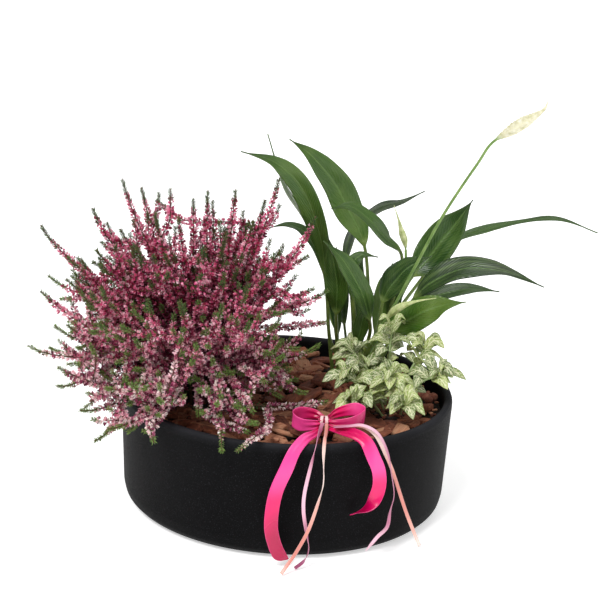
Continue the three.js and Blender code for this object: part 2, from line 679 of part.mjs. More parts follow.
function fittoniaSprig(stem, random) {
  const curve = smoothCurve([stem.root, stem.root.clone().lerp(vec(...stem.top), 0.45).addScaledVector(UP, 9),
    vec(...stem.top)]);
  const hint = vec(0.2, 1, 0.1).normalize();
  const rings = [holeFloor(stem.root), stem.root].map(
    (point) => roundRing(uprightFrame(point, hint), () => FITTONIA_STEM_RADIUS, FITTONIA_SIDES));
  for (const share of [0.25, ...FITTONIA_PAIRS, 1]) {
    const radius = FITTONIA_STEM_RADIUS * (1.1 - 0.3 * share);
    rings.push(roundRing(frameAt(curve, share, hint), () => radius, FITTONIA_SIDES));
  }
  const pieces = [loft(rings, false)];
  FITTONIA_PAIRS.forEach((share, pair) => {
    const start = curve.getPoint(share);
    const size = [0.9, 1, 0.72][pair];
    for (const opposite of [0, Math.PI]) {
      const away = stem.turn + (pair * Math.PI) / 2 + opposite + 0.5 * (random() - 0.5);
      const lift = [0.12, 0.24, 0.34][pair] + 0.1 * random();
      const [length, half] = [FITTONIA_LEAF_LENGTH * size, FITTONIA_LEAF_HALF_WIDTH * size];
      pieces.push(fittoniaLeaf(start, away, lift, length, half));
    }
  });
  return fuse(pieces);
}

function makeFittonia() {
  const random = randomFrom(37);
  const crown = vec(FITTONIA_CROWN.x, FITTONIA_CROWN.y, 0);
  const wishes = fittoniaStems.map(({ top: [x, y] }) => vec(x, y, 0).lerp(crown, 0.6));
  const roots = takeRoots(FITTONIA_CROWN, 5, wishes, () => FITTONIA_STEM_RADIUS);
  fittoniaStems.forEach((stem, order) => {
    const sprig = fittoniaSprig({ ...stem, root: roots[order] }, random);
    addPiece(`fittonia_sprig_${order + 1}`, sprig, FITTONIA_FINISH);
  });
}

// ---- bow and ribbons ----------------------------------------------------------------------

// A strip of ribbon along a path; the frame says which way its width and its face look there.
function band(points, widths, steps, frameOf) {
  const curve = smoothCurve(points);
  const thick = RIBBON_THICKNESS / 2;
  const rings = [];
  for (let step = 0; step <= steps; step += 1) {
    const share = step / steps;
    const at = share * (widths.length - 1);
    const low = Math.min(widths.length - 2, Math.floor(at));
    const half = THREE.MathUtils.lerp(widths[low], widths[low + 1], at - low) / 2;
    const frame = frameOf(curve, share);
    rings.push([offset(frame, -half, thick), offset(frame, half, thick), offset(frame, half, -thick),
      offset(frame, -half, -thick)]);
  }
  return loft(rings, true);
}

// A loop lies on its edge: out along the back, round its end and home along the front.
function bowLoop(direction, reach, rise, depth) {
  const at = (along, across, up) => BOW_KNOT.clone().add(vec(direction * along, across, up));
  const points = [
    at(0, 1.2, 0), at(0.3 * reach, 0.5 * depth, 0.35 * rise), at(0.75 * reach, 0.5 * depth, 0.9 * rise),
    at(reach, 0, rise),
    at(0.75 * reach, -0.5 * depth, 0.75 * rise), at(0.3 * reach, -0.4 * depth, 0.2 * rise), at(0, -1.2, 0),
  ];
  const widths = [4.6, 9, RIBBON_WIDTH, RIBBON_WIDTH, RIBBON_WIDTH, 9, 4.6];
  return band(points, widths, 12, (curve, share) => {
    const along = curve.getTangent(share);
    return { centre: curve.getPoint(share), side: UP, face: vec(along.y, -along.x, 0).normalize() };
  });
}

const tailLeft = [
  [30, -114, 108.6], [25, -130, 110], [17, -145, 110.5], [9, -155, 103], [3, -160, 89], [-4, -162, 71],
  [-7, -163, 53], [-7, -163, 36], [-3, -161, 20], [2, -159, 9], [4, -158, 4.6],
];
const tailRight = [
  [37, -114, 108.6], [48, -122, 110], [59, -131, 111.5], [68, -138, 108], [75, -143, 96],
  [80, -143, 84], [81, -142, 70], [77, -142, 57], [69, -142, 48], [58, -143, 43],
];

const strandRoutes = {
  a: [[31.6, -111.3, 112.6], [30.5, -122, 113.4], [29.5, -133, 113.4], [28, -144, 111.8], [26, -152.5, 105],
    [23, -155, 91], [19, -156, 67], [19, -157, 51], [22, -157, 34], [25, -157, 18], [22, -159, 8],
    [14, -163, 2]],
  b: [[35, -111.3, 112.3], [35, -122, 111.8], [34.5, -134, 111.2], [33.5, -146, 110], [33, -153.5, 100],
    [34, -154.5, 77], [31, -157, 61], [24, -161, 37], [15, -166, 19], [8, -171, 9], [3, -175, 2.2]],
  c: [[41, -118, 112.6], [54, -121.5, 115], [66, -126, 116], [76, -132, 111.5], [85, -133.5, 96],
    [92, -130, 80], [99, -124.5, 60], [107, -117.5, 37], [115, -112, 17], [121, -108, 2.5]],
  d: [[41, -121.8, 113.6], [53, -125.8, 116.5], [65, -130, 119.2], [77.5, -135.6, 114.6], [86.5, -137.6, 99],
    [91, -135, 80], [95, -128, 58], [92.5, -128, 42], [90.5, -129, 28], [83, -131.5, 20],
    [73.5, -135, 8.5]],
};
const STRAND_STEPS = 14;

function strand(points) {
  const radius = STRAND_DIAMETER / 2;
  const section = new THREE.Shape(Array.from({ length: 8 },
    (_, k) => new THREE.Vector2(radius * Math.cos((k * Math.PI) / 4), radius * Math.sin((k * Math.PI) / 4))));
  const extrudePath = smoothCurve(fromList(points));
  const settings = { steps: STRAND_STEPS, bevelEnabled: false, extrudePath };
  return merged(new THREE.ExtrudeGeometry(section, settings));
}

function makeRibbons() {
  const waist = new THREE.SphereGeometry(2.9, 6, 4).scale(1.6, 1, 1).translate(...BOW_KNOT);
  addPiece('ribbon_bow', fuse([waist, bowLoop(-1, 27, 1, 13), bowLoop(1, 34, 7, 14)]), RIBBON_FINISH);
  const collar = new THREE.TorusGeometry((KNOT_HOLE + KNOT_RADIUS) / 2, (KNOT_RADIUS - KNOT_HOLE) / 2, 5, 12)
    .rotateY(Math.PI / 2).translate(...BOW_KNOT);
  addPiece('ribbon_knot', merged(collar), KNOT_FINISH);
  const widths = [5, 9, RIBBON_WIDTH, RIBBON_WIDTH, RIBBON_WIDTH, RIBBON_WIDTH];
  // The tails lie face up on the bark and turn their face forward where they fall over the rim.
  const falling = (curve, share) => frameAt(curve, share,
    vec(0.1, -0.25 - Math.min(1, share * 3), 1 - Math.min(1, share * 3.2)).normalize());
  addPiece('ribbon_tail_left', band(fromList(tailLeft), widths, 16, falling), RIBBON_FINISH);
  addPiece('ribbon_tail_right', band(fromList(tailRight), widths, 16, falling), RIBBON_FINISH);
  for (const [letter, route] of Object.entries(strandRoutes)) {
    addPiece(`ribbon_strand_${letter}`, strand(route), STRAND_FINISH);
  }
}

makePot();
makeHeather();
makeLily();
makeFittonia();
makeSoil();
makeBark();
makePellets();
makeRibbons();

export default planter;
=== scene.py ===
"""Looks of the mixed planter: a black bowl with a heather, a peace lily, a nerve plant, bark and ribbons.

Shapes are worked out in millimetres, in the CAD's own frame and from its named values, and become
metres where a mesh is made.
"""

from math import atan2, cos, hypot, pi, radians, sin, sqrt

import bpy
import numpy as np
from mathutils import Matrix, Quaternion, Vector


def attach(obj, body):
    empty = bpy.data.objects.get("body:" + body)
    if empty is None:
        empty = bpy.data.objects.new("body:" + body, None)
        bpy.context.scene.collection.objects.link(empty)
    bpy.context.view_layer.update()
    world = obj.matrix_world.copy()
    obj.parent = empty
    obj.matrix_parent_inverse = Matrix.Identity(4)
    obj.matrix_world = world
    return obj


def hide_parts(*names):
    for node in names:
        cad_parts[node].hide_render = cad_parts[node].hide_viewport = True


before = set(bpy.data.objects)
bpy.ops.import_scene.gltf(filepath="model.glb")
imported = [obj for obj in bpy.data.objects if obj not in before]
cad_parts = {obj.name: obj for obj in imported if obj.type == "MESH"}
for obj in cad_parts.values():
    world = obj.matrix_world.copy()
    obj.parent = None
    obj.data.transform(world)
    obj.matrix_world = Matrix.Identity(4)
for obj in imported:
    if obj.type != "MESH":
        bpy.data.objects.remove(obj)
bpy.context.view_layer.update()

MM = 0.001
UP = np.array([0.0, 0.0, 1.0])
GOLDEN = pi * (3 - sqrt(5))

# ---- camera ----

TARGET = Vector((7.58, 0, 186.57)) * MM
DISTANCE, NEAR = 1.5, 0.05
ELEVATION, ROLL = radians(16.64), radians(2.78)
FOCAL_PIXELS, FRAME_PIXELS, SENSOR = 1676.91, 600, 36


def add_object(name, data):
    thing = bpy.data.objects.new(name, data)
    bpy.context.scene.collection.objects.link(thing)
    return thing


def aim(thing, place, way):
    """Puts an object at a place and turns its -z axis along the way."""
    thing.location = place
    thing.rotation_mode = "QUATERNION"
    thing.rotation_quaternion = way.to_track_quat("-Z", "Y")


def make_camera():
    data = bpy.data.cameras.new("camera")
    data.sensor_width, data.clip_start = SENSOR, NEAR
    data.lens = SENSOR * FOCAL_PIXELS / FRAME_PIXELS
    camera = add_object("camera", data)
    back = Vector((0, -cos(ELEVATION), sin(ELEVATION)))
    aim(camera, TARGET + back * DISTANCE, -back)
    camera.rotation_quaternion = camera.rotation_quaternion @ Quaternion((0, 0, 1), ROLL)
    bpy.context.scene.camera = camera


make_camera()

# ---- small tools ----


def vec(*values):
    return np.array(values, float)


def unit(v):
    return v / np.maximum(np.linalg.norm(v, axis=-1, keepdims=True), 1e-12)


def circle(count):
    return np.arange(count) * 2 * pi / count


def mulberry(state):
    """The CAD's seeded numbers from 0 to 1."""
    word = 0xFFFFFFFF
    while True:
        state = (state + 0x6D2B79F5) & word
        mixed = ((state ^ (state >> 15)) * (1 | state)) & word
        mixed = ((mixed + ((mixed ^ (mixed >> 7)) * (61 | mixed) & word)) & word) ^ mixed
        yield ((mixed ^ (mixed >> 14)) & word) / (word + 1)


class Curve:
    """A uniform Catmull-Rom curve through points, read at shares from 0 to 1 of its knots."""

    def __init__(self, points):
        p = np.asarray(points, float)
        self.knots = np.vstack([2 * p[0] - p[1], p, 2 * p[-1] - p[-2]])
        self.spans = len(p) - 1

    def at(self, share):
        place = np.clip(share, 0.0, 1.0) * self.spans
        low = np.minimum(place.astype(int), self.spans - 1)
        t = (place - low)[..., None]
        a, b, c, d = (self.knots[low + k] for k in range(4))
        m, n = 0.5 * (c - a), 0.5 * (d - b)
        return b + m * t + (-3 * b + 3 * c - 2 * m - n) * t**2 + (2 * b - 2 * c + m + n) * t**3

    def steps(self, count):
        return self.at(np.linspace(0, 1, count))

    def frames(self, share, hint):
        """Centre, side, face and direction at each share; the face looks the hint's way."""
        along = unit(self.at(np.minimum(share + 1e-4, 1)) - self.at(np.maximum(share - 1e-4, 0)))
        side = unit(np.cross(along, hint))
        return self.at(share), side, unit(np.cross(side, along)), along

    def footed(self, share, hint, foot):
        """Centre, side, face and share as in frames, with one more row at the foot below."""
        centre, side, face, _ = self.frames(share, hint)
        return (np.vstack([foot, centre]), np.vstack([side[:1], side]), np.vstack([face[:1], face]),
                np.r_[0, share])

    def length(self):
        return float(np.linalg.norm(np.diff(self.steps(200), axis=0), axis=1).sum())


class Shape:
    """Points, faces, a material number for each face, and named numbers for each point."""

    NAMES = ("across", "along", "tone", "kind")

    def __init__(self):
        self.points, self.faces, self.looks, self.count = [], [], [], 0
        self.numbers = {n: [] for n in self.NAMES}

    def add(self, points, faces, **numbers):
        points = np.reshape(points, (-1, 3))
        self.points.append(points)
        self.faces += [tuple(i + self.count for i in f) for f in faces]
        self.looks += [0] * len(faces)
        for n in self.NAMES:
            self.numbers[n].append(np.broadcast_to(np.ravel(numbers.get(n, 0)), (len(points),)))
        self.count += len(points)

    def copies(self, mesh, look, places, axes, **numbers):
        """A small mesh at many places; axes holds three scaled directions for each."""
        points, groups, along = mesh
        first = self.count + len(points) * np.arange(len(places))[:, None, None]
        numbers = {n: np.repeat(value, len(points)) for n, value in numbers.items()}
        moved = places[:, None] + np.einsum("pj,njc->npc", points, axes)
        self.add(moved, [], along=np.tile(along, len(places)), **numbers)
        for group in groups:
            whole = (np.array(group) + first).reshape(-1, len(group[0])).tolist()
            self.faces += whole
            self.looks += [look] * len(whole)

    def make(self, name, looks, node, smooth=True):
        mesh = bpy.data.meshes.new(name)
        mesh.from_pydata((np.vstack(self.points) * MM).tolist(), [], self.faces)
        for n in self.NAMES:
            attribute = mesh.attributes.new(n, "FLOAT", "POINT")
            attribute.data.foreach_set("value", np.concatenate(self.numbers[n]).astype(np.float32))
        for look in looks:
            mesh.materials.append(look)
        mesh.polygons.foreach_set("material_index", self.looks)
        mesh.polygons.foreach_set("use_smooth", [smooth] * len(self.faces))
        mesh.update()
        piece = add_object(name, mesh)
        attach(piece, "root")
        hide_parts(node)
        return piece


def rings(rows, count):
    """Quads that join rings of points, each to the next."""
    steps = [(c, (c + 1) % count) for c in range(count)]
    return [(r + c, r + d, r + count + d, r + count + c)
            for r in range(0, (rows - 1) * count, count) for c, d in steps]


def ends(rows, count):
    """A face on the first ring and one on the last."""
    last = (rows - 1) * count
    return [tuple(range(count))[::-1], tuple(range(last, last + count))]


def flipped(faces):
    return [f[::-1] for f in faces]


def spread(value, count):
    """One value for each row, given to each of its points. A single value or a whole grid stays."""
    return np.repeat(value, count) if np.ndim(value) == 1 else value


def tube(shape, centres, side, face, radii, around, **numbers):
    """A closed tube. The radii are one for each ring or one for each point."""
    turn = circle(around)
    radii = np.broadcast_to(np.reshape(radii, (len(centres), -1)), (len(centres), around))
    points = (centres[:, None] + side[:, None] * (radii * np.cos(turn))[..., None]
              + face[:, None] * (radii * np.sin(turn))[..., None])
    faces = rings(len(centres), around) + ends(len(centres), around)
    shape.add(points, faces, **{n: spread(v, around) for n, v in numbers.items()})


def band(shape, over, under, across, turned_over=False, **numbers):
    """A closed thin band between two grids of points, with rows across it."""
    rows, columns = over.shape[:2]
    count = 2 * columns
    faces = rings(rows, count)
    for first in (0, (rows - 1) * count):
        for c in range(columns - 1):
            quad = (first + c, first + c + 1, first + count - 2 - c, first + count - 1 - c)
            faces.append(quad if first else quad[::-1])
    if turned_over:
        faces = flipped(faces)
    whole = np.concatenate([over, under[:, ::-1]], axis=1)
    shape.add(whole, faces, across=np.tile(np.r_[across, across[::-1]], rows),
              **{n: spread(v, count) for n, v in numbers.items()})


# ---- materials ----


def paint(colour):
    """A linear colour from one written as 0 to 255 of the screen's red, green and blue."""
    share = [c / 255 for c in colour]
    return tuple(c / 12.92 if c <= 0.04045 else ((c + 0.055) / 1.055) ** 2.4 for c in share) + (1,)


class Look:
    """A Principled material and short calls to add nodes to it."""

    def __init__(self, name, **sockets):
        self.material = bpy.data.materials.new(name)
        self.material.use_nodes = True
        self.nodes, self.links = self.material.node_tree.nodes, self.material.node_tree.links
        self.shader = self.nodes["Principled BSDF"]
        for socket, value in sockets.items():
            self.shader.inputs[socket.replace("_", " ")].default_value = value

    def finished(self, colour, normal=None, roughness=None):
        for socket, output in (("Base Color", colour), ("Normal", normal), ("Roughness", roughness)):
            if output:
                self.links.new(output, self.shader.inputs[socket])
        return self.material

    def node(self, kind, inputs=(), **settings):
        node = self.nodes.new(kind)
        for key, value in settings.items():
            setattr(node, key, value)
        for key, value in dict(inputs).items():
            if isinstance(value, bpy.types.NodeSocket):
                self.links.new(value, node.inputs[key])
            else:
                node.inputs[key].default_value = value
        return node

    def place(self):
        return self.node("ShaderNodeTexCoord").outputs["Object"]

    def number(self, name):
        return self.node("ShaderNodeAttribute", attribute_name=name).outputs["Fac"]

    def math(self, operation, a, b=0.0):
        return self.node("ShaderNodeMath", {0: a, 1: b}, operation=operation).outputs[0]

    def times(self, a, b):
        return self.math("MULTIPLY", a, b)

    def blend(self, a, share_a, b, share_b):
        """Two values, each times its share, added."""
        return self.math("ADD", self.times(a, share_a), self.times(b, share_b))

    def wave(self, value):
        """Rises from 0 to a half and falls again while the value grows by one."""
        return self.math("PINGPONG", value, 0.5)

    def noise(self, scale, detail=3.0, roughness=0.5, at=None):
        inputs = {"Scale": scale, "Detail": detail, "Roughness": roughness, "Vector": at or self.place()}
        return self.node("ShaderNodeTexNoise", inputs).outputs["Fac"]

    def cells(self, scale, feature="F1", at=None):
        inputs = {"Scale": scale, "Vector": at or self.place()}
        return self.node("ShaderNodeTexVoronoi", inputs, feature=feature).outputs["Distance"]

    def xyz(self, x, y, z):
        return self.node("ShaderNodeCombineXYZ", {0: x, 1: y, 2: z}).outputs[0]

    def ramp(self, value, *stops, ease="LINEAR"):
        """Colours, or numbers as greys, at places along a value."""
        node = self.node("ShaderNodeValToRGB", {0: value})
        node.color_ramp.interpolation = ease
        elements = node.color_ramp.elements
        while len(elements) < len(stops):
            elements.new(0.5)
        for element, (place, colour) in zip(elements, stops):
            element.position = place
            element.color = paint(colour) if isinstance(colour, tuple) else (colour,) * 3 + (1,)
        return node.outputs[0]

    def mix(self, share, a, b):
        a, b = (paint(c) if isinstance(c, tuple) else c for c in (a, b))
        return self.node("ShaderNodeMix", {0: share, 6: a, 7: b}, data_type="RGBA").outputs[2]

    def bump(self, height, distance, strength=1.0, over=None):
        inputs = {"Height": height, "Distance": distance, "Strength": strength}
        if over:
            inputs["Normal"] = over
        return self.node("ShaderNodeBump", inputs).outputs[0]


def pot_look():
    look = Look("matte_black", Specular_IOR_Level=0.05)
    grain, cloud = look.noise(900, 4, 0.7), look.noise(14, 3)
    base = look.mix(look.ramp(cloud, (0.3, 0.0), (0.7, 1.0)), (10, 10, 11), (15, 15, 16))
    specks = look.ramp(look.noise(1300, 2, 0.6), (0.62, 0.0), (0.7, 1.0))
    height = look.node("ShaderNodeSeparateXYZ", {0: look.place()}).outputs[2]
    # painted highlight: the lip is lighter where light from above catches it, more so in patches
    rim_highlight = look.times(look.ramp(height, (0.1, 0.0), (0.106, 1.0)), look.ramp(cloud, (0.3, 0.3), (0.7, 0.8)))
    colour = look.mix(rim_highlight, look.mix(specks, base, (46, 46, 50)), (52, 52, 56))
    return look.finished(colour, look.bump(grain, 0.00035, 0.55), look.ramp(grain, (0.3, 0.5), (0.7, 0.72)))


def bark_look():
    look = Look("bark", Roughness=0.85)
    tone = look.number("tone")
    local = look.xyz(look.number("across"), look.number("along"), tone)
    drawn = look.node("ShaderNodeMapping", {"Vector": local, "Scale": (0.9, 0.09, 7.0)}).outputs[0]
    fibre, flake = look.noise(1.0, 5, 0.65, drawn), look.noise(150, 4, 0.6)
    colour = look.ramp(look.blend(fibre, 0.6, tone, 0.45), (0.24, (42, 19, 12)), (0.42, (98, 48, 30)),
                       (0.6, (156, 92, 62)), (0.76, (212, 160, 124)))
    flakes = look.ramp(flake, (0.35, (60, 26, 18)), (0.65, (168, 98, 72)))
    rough = look.bump(fibre, 0.0012, 0.8, look.bump(flake, 0.0006, 0.5))
    return look.finished(look.mix(0.35, colour, flakes), rough)


def soil_look():
    look = Look("soil", Roughness=0.95)
    grain = look.noise(420, 5, 0.7)
    colour = look.ramp(grain, (0.3, (16, 11, 9)), (0.55, (40, 27, 20)), (0.75, (74, 54, 42)))
    return look.finished(colour, look.bump(look.cells(260), 0.0016, 0.9, look.bump(grain, 0.0008)))


def pellet_look():
    look = Look("clay", Roughness=0.9)
    colour = look.ramp(look.noise(160, 3), (0.3, (84, 44, 34)), (0.55, (134, 78, 60)), (0.75, (168, 116, 96)))
    return look.finished(colour, look.bump(look.noise(700, 4, 0.7), 0.0006, 0.8))


def wood_look():
    look = Look("heather_wood", Roughness=0.8)
    grain = look.noise(500, 4, 0.6)
    colour = look.ramp(grain, (0.3, (54, 36, 28)), (0.6, (104, 72, 54)), (0.8, (136, 98, 74)))
    return look.finished(colour, look.bump(grain, 0.0004))


def needle_look():
    look = Look("heather_green", Subsurface_Weight=0.08, Subsurface_Radius=(0.001, 0.002, 0.0005))
    tone = look.blend(look.number("tone"), 1.0, look.noise(300), 0.25)
    colour = look.ramp(tone, (0.1, (26, 44, 18)), (0.5, (66, 98, 38)), (0.95, (122, 150, 70)))
    return look.finished(colour, roughness=look.ramp(look.noise(900), (0.3, 0.5), (0.7, 0.7)))


def floret_look():
    """Pale low on the plant and deep above; each petal is lighter at its rim."""
    look = Look("heather_pink", Roughness=0.65, Subsurface_Weight=0.06,
                Subsurface_Radius=(0.002, 0.0008, 0.001))
    tone = look.number("tone")
    deep = look.ramp(tone, (0.0, (84, 6, 38)), (0.3, (192, 24, 92)), (0.68, (240, 84, 150)),
                     (1.0, (255, 208, 220)))
    pale = look.ramp(tone, (0.0, (96, 20, 50)), (0.3, (200, 84, 132)), (0.6, (250, 218, 216)),
                     (1.0, (255, 252, 242)))
    rim = look.times(look.ramp(look.number("along"), (0.0, 0.0), (0.5, 0.1), (1.0, 0.85)),
                     look.ramp(tone, (0.1, 0.1), (0.7, 1.0)))
    colour = look.mix(rim, look.mix(look.number("kind"), deep, pale), (252, 218, 226))
    return look.finished(colour, look.bump(look.noise(1500), 0.0002, 0.4))


def lily_look():
    """Glossy green with a pale midrib, fine veins that leave it slantwise, and painted highlights drawn out
    along it.
    """
    look = Look("lily_green", Specular_IOR_Level=0.45, Coat_Weight=0.06, Coat_Roughness=0.25,
                Subsurface_Weight=0.04, Subsurface_Radius=(0.001, 0.003, 0.0005))
    across, along, tone = look.number("across"), look.number("along"), look.number("tone")
    out = look.math("ABSOLUTE", across)
    slant = look.blend(along, 34.0, out, -6.0)
    vein = look.wave(look.blend(slant, 1.0, look.noise(60, 2), 1.6))
    ridge = look.ramp(vein, (0.0, 1.0), (0.16, 0.25), (0.4, 0.0), ease="EASE")
    rib = look.ramp(out, (0.0, 1.0), (0.035, 0.75), (0.085, 0.0))
    blade = look.ramp(look.blend(look.noise(26, 3), 0.55, tone, 0.6), (0.2, (12, 32, 6)), (0.5, (30, 64, 13)),
                      (0.75, (64, 100, 28)), (0.95, (112, 138, 58)))
    # painted highlights: lighter glossy strokes drawn out along the leaf
    strip = look.xyz(look.times(across, 5.0), look.times(along, 3.0), look.times(tone, 20.0))
    painted_gloss = look.ramp(look.noise(1.0, 3, 0.6, strip), (0.42, 0.0), (0.7, 1.0))
    top = blade
    for share, most, colour in ((painted_gloss, 0.5, (104, 130, 66)), (ridge, 0.14, (104, 140, 74)),
                                (rib, 0.5, (116, 150, 80))):
        top = look.mix(look.times(share, most), top, colour)
    stalk = look.ramp(look.noise(90), (0.3, (82, 108, 38)), (0.7, (132, 154, 74)))
    relief = look.blend(ridge, -0.5, rib, -0.8)
    gloss = look.ramp(look.noise(1400, 2), (0.3, 0.26), (0.7, 0.4))
    return look.finished(look.mix(look.number("kind"), top, stalk), look.bump(relief, 0.0006, 0.8), gloss)


def bloom_look():
    look = Look("bloom_cream", Roughness=0.6, Subsurface_Weight=0.05,
                Subsurface_Radius=(0.003, 0.003, 0.0015))
    green = look.ramp(look.noise(80), (0.3, (92, 128, 58)), (0.7, (138, 168, 92)))
    cream = look.ramp(look.noise(240, 4), (0.3, (202, 198, 156)), (0.5, (226, 222, 190)),
                      (0.75, (242, 240, 222)))
    fresh = look.ramp(look.noise(200, 3), (0.3, (172, 190, 112)), (0.7, (226, 230, 178)))
    colour = look.mix(look.number("kind"), green, look.mix(look.number("tone"), cream, fresh))
    return look.finished(colour, look.bump(look.noise(600, 3), 0.0004, 0.5))


def fittonia_look():
    """Green between a net of white veins, which grows finer away from the midrib."""
    look = Look("nerve_leaf", Roughness=0.5, Subsurface_Weight=0.1, Subsurface_Radius=(0.001, 0.003, 0.001))
    across, along, tone = look.number("across"), look.number("along"), look.number("tone")
    out = look.math("ABSOLUTE", across)
    spot = look.xyz(look.times(across, 3.2), look.times(along, 6.5), look.times(tone, 40.0))
    veins = (look.ramp(look.cells(1.25, "DISTANCE_TO_EDGE", spot), (0.0, 0.9), (0.04, 0.55), (0.1, 0.0)),
             look.ramp(look.wave(look.blend(along, 5.2, out, -1.5)), (0.0, 1.0), (0.07, 0.8), (0.13, 0.0)),
             look.ramp(out, (0.0, 1.0), (0.07, 0.9), (0.13, 0.0)))
    white = look.math("MAXIMUM", look.math("MAXIMUM", *veins[:2]), veins[2])
    white = look.times(white, look.ramp(out, (0.78, 1.0), (0.98, 0.15)))
    green = look.ramp(look.blend(look.noise(120), 0.5, tone, 0.5), (0.25, (74, 100, 34)),
                      (0.5, (122, 144, 64)), (0.85, (176, 190, 104)))
    leaf = look.mix(look.times(white, 0.85), green, (240, 240, 200))
    stem = look.ramp(look.noise(200), (0.3, (128, 152, 92)), (0.7, (176, 192, 136)))
    return look.finished(look.mix(look.number("kind"), leaf, stem), look.bump(white, 0.0006, -0.6))


def satin_look(name, painted_shade, base, light, roughness=0.35):
    """Ribbon: highlights and shade painted along it, shifting smoothly, a tight selvedge, and painted shade
    on the wrong side, which lines the bow's loops.
    """
    look = Look(name, Specular_IOR_Level=0.55, Anisotropic=0.6, Sheen_Weight=0.12, Sheen_Roughness=0.35,
                Sheen_Tint=paint(light))
    edge = look.ramp(look.math("ABSOLUTE", look.number("across")), (0.88, 0.0), (0.94, 1.0))
    # painted highlights and shade along the ribbon, set by its tone and a little noise
    shift = look.blend(look.noise(26, 1), 0.3, look.number("tone"), 0.7)
    face = look.ramp(shift, (0.2, painted_shade), (0.5, base), (0.82, light), ease="EASE")
    # painted shade on the wrong side, which lines the inside of the bow's loops
    colour = look.mix(look.times(look.number("kind"), 0.6), face, painted_shade)
    colour = look.mix(look.times(edge, 0.35), colour, light)
    weave = look.blend(look.wave(look.number("along")), 0.5, edge, 1.0)
    gloss = look.ramp(shift, (0.3, roughness - 0.04), (0.7, roughness + 0.08))
    return look.finished(colour, look.bump(weave, 0.00005, 0.4), gloss)


# each satin's colour in painted shade, its own colour, and its painted highlight, which also tints the
# selvedge and the shader
PINK = satin_look("satin_pink", (178, 0, 70), (234, 10, 104), (255, 74, 158), 0.3)
SALMON = satin_look("satin_salmon", (222, 140, 128), (242, 176, 162), (255, 232, 222))
MAUVE = satin_look("satin_mauve", (170, 84, 122), (204, 120, 152), (246, 196, 214))
PALE = satin_look("satin_pale", (226, 168, 176), (246, 206, 206), (255, 240, 236))

# ---- ribbons ----

RIBBON_WIDTH, RIBBON_CLOTH, RIBBON_COLUMNS = 11.5, 0.4, 13
STRAND_WIDTH, STRAND_CLOTH, STRAND_COLUMNS = 3.0, 0.5, 5
STRAND_POINTS, STRAND_ROWS, TAIL_ROWS, LOOP_ROWS = 36, 90, 80, 90
BOW_KNOT = vec(33, -106, 112.6)
KNOT_RADIUS, KNOT_WIDTH = 4.0, 2.6
RIB_STEP = 0.6

# for each thin ribbon its route, and the ways its face looks from the knot to the end
STRANDS = {
    "a": ([(31.6, -111.3, 112.6), (30.5, -122, 113.4), (29.5, -133, 113.4), (28, -144, 111.8),
           (26, -152.5, 105), (23, -155, 91), (19, -156, 67), (19, -157, 51), (22, -157, 34), (25, -157, 18),
           (22, -159, 8), (14, -163, 2)],
          [(0.1, -0.2, 1), (0.2, -1, 0.4), (1, 0.15, 0.1), (0.3, -1, 0.1), (0.2, -1, 0.1), (1, 0.2, 0.2),
           (0, -0.8, 0.5)]),
    "b": ([(35, -111.3, 112.3), (35, -122, 111.8), (34.5, -134, 111.2), (33.5, -146, 110), (33, -153.5, 100),
           (34, -154.5, 77), (31, -157, 61), (24, -161, 37), (15, -166, 19), (8, -171, 9), (3, -175, 2.2)],
          [(0, -0.2, 1), (0.3, -1, 0.5), (0.3, -1, 0.2), (1, 0.15, 0.1), (0.4, -1, 0.2), (-0.1, -1, 0.3),
           (0, -0.6, 0.8)]),
    "c": ([(41, -118, 112.6), (54, -121.5, 115), (66, -126, 116), (76, -132, 111.5), (85, -133.5, 96),
           (92, -130, 80), (99, -124.5, 60), (107, -117.5, 37), (115, -112, 17), (121, -108, 2.5)],
          [(0, -0.3, 1), (0.1, -0.4, 1), (0.2, -1, 0.4), (0.2, -1, 0.2), (0.1, -1, 0.2), (0.3, -0.9, 0.3)]),
    "d": ([(41, -121.8, 113.6), (53, -125.8, 116.5), (65, -130, 119.2), (77.5, -135.6, 114.6),
           (86.5, -137.6, 99), (91, -135, 80), (95, -128, 58), (92.5, -128, 42), (90.5, -129, 28),
           (83, -131.5, 20), (73.5, -135, 8.5)],
          [(0, -0.2, 1), (0.1, -0.4, 1), (0.9, -0.6, 0.2), (1, -0.1, 0.1), (0.9, -0.3, 0.1), (-0.2, -1, 0.4),
           (1, 0, 0.4)]),
}


def spaced(values, share):
    """Values at even spaces along a ribbon, read at the shares between."""
    return np.interp(share, np.linspace(0, 1, len(values)), values)


def ribbon(shape, centres, side, face, widths, cloth, columns, pleat, tones, wrong=0):
    """A closed band. pleat(row share, across) lifts the cloth off its plane; tones set the highlights and
    shade painted along it.
    """
    across, share = np.linspace(-1, 1, columns), np.linspace(0, 1, len(centres))
    out, lift = np.reshape(widths, (-1, 1)) / 2 * across, pleat(share[:, None], across)
    middle = centres[:, None] + side[:, None] * out[..., None] + face[:, None] * lift[..., None]
    half = face[:, None] * cloth / 2
    steps = np.linalg.norm(np.diff(centres, axis=0), axis=1)
    kinds = np.broadcast_to(np.repeat([0, wrong], columns), (len(centres), 2 * columns))
    band(shape, middle + half, middle - half, across, along=np.r_[0, np.cumsum(steps)] / RIB_STEP,
         tone=spaced(tones, share), kind=kinds)


def make_strand(letter, look):
    points, faces = STRANDS[letter]
    route = Curve(points)
    share = np.linspace(0, 1, STRAND_ROWS)
    centres, side, face, _ = route.frames(share, Curve(faces).at(share))
    shape = Shape()
    # painted highlights and shade that come and go along the strand
    painted_sheen = 0.5 + 0.45 * np.sin(9 * share + ord(letter))
    ribbon(shape, centres, side, face, STRAND_WIDTH, STRAND_CLOTH, STRAND_COLUMNS,
           lambda s, a: 0.25 * a**2 * np.sin(9 * s + ord(letter)), painted_sheen)
    piece = shape.make(f"strand_{letter}", [look], f"ribbon_strand_{letter}")
    path = route.steps(STRAND_POINTS) * MM
    tuple(path[0])
    round(route.length() * MM, 3)


make_strand("a", MAUVE)
make_strand("b", SALMON)
make_strand("c", SALMON)
make_strand("d", MAUVE)
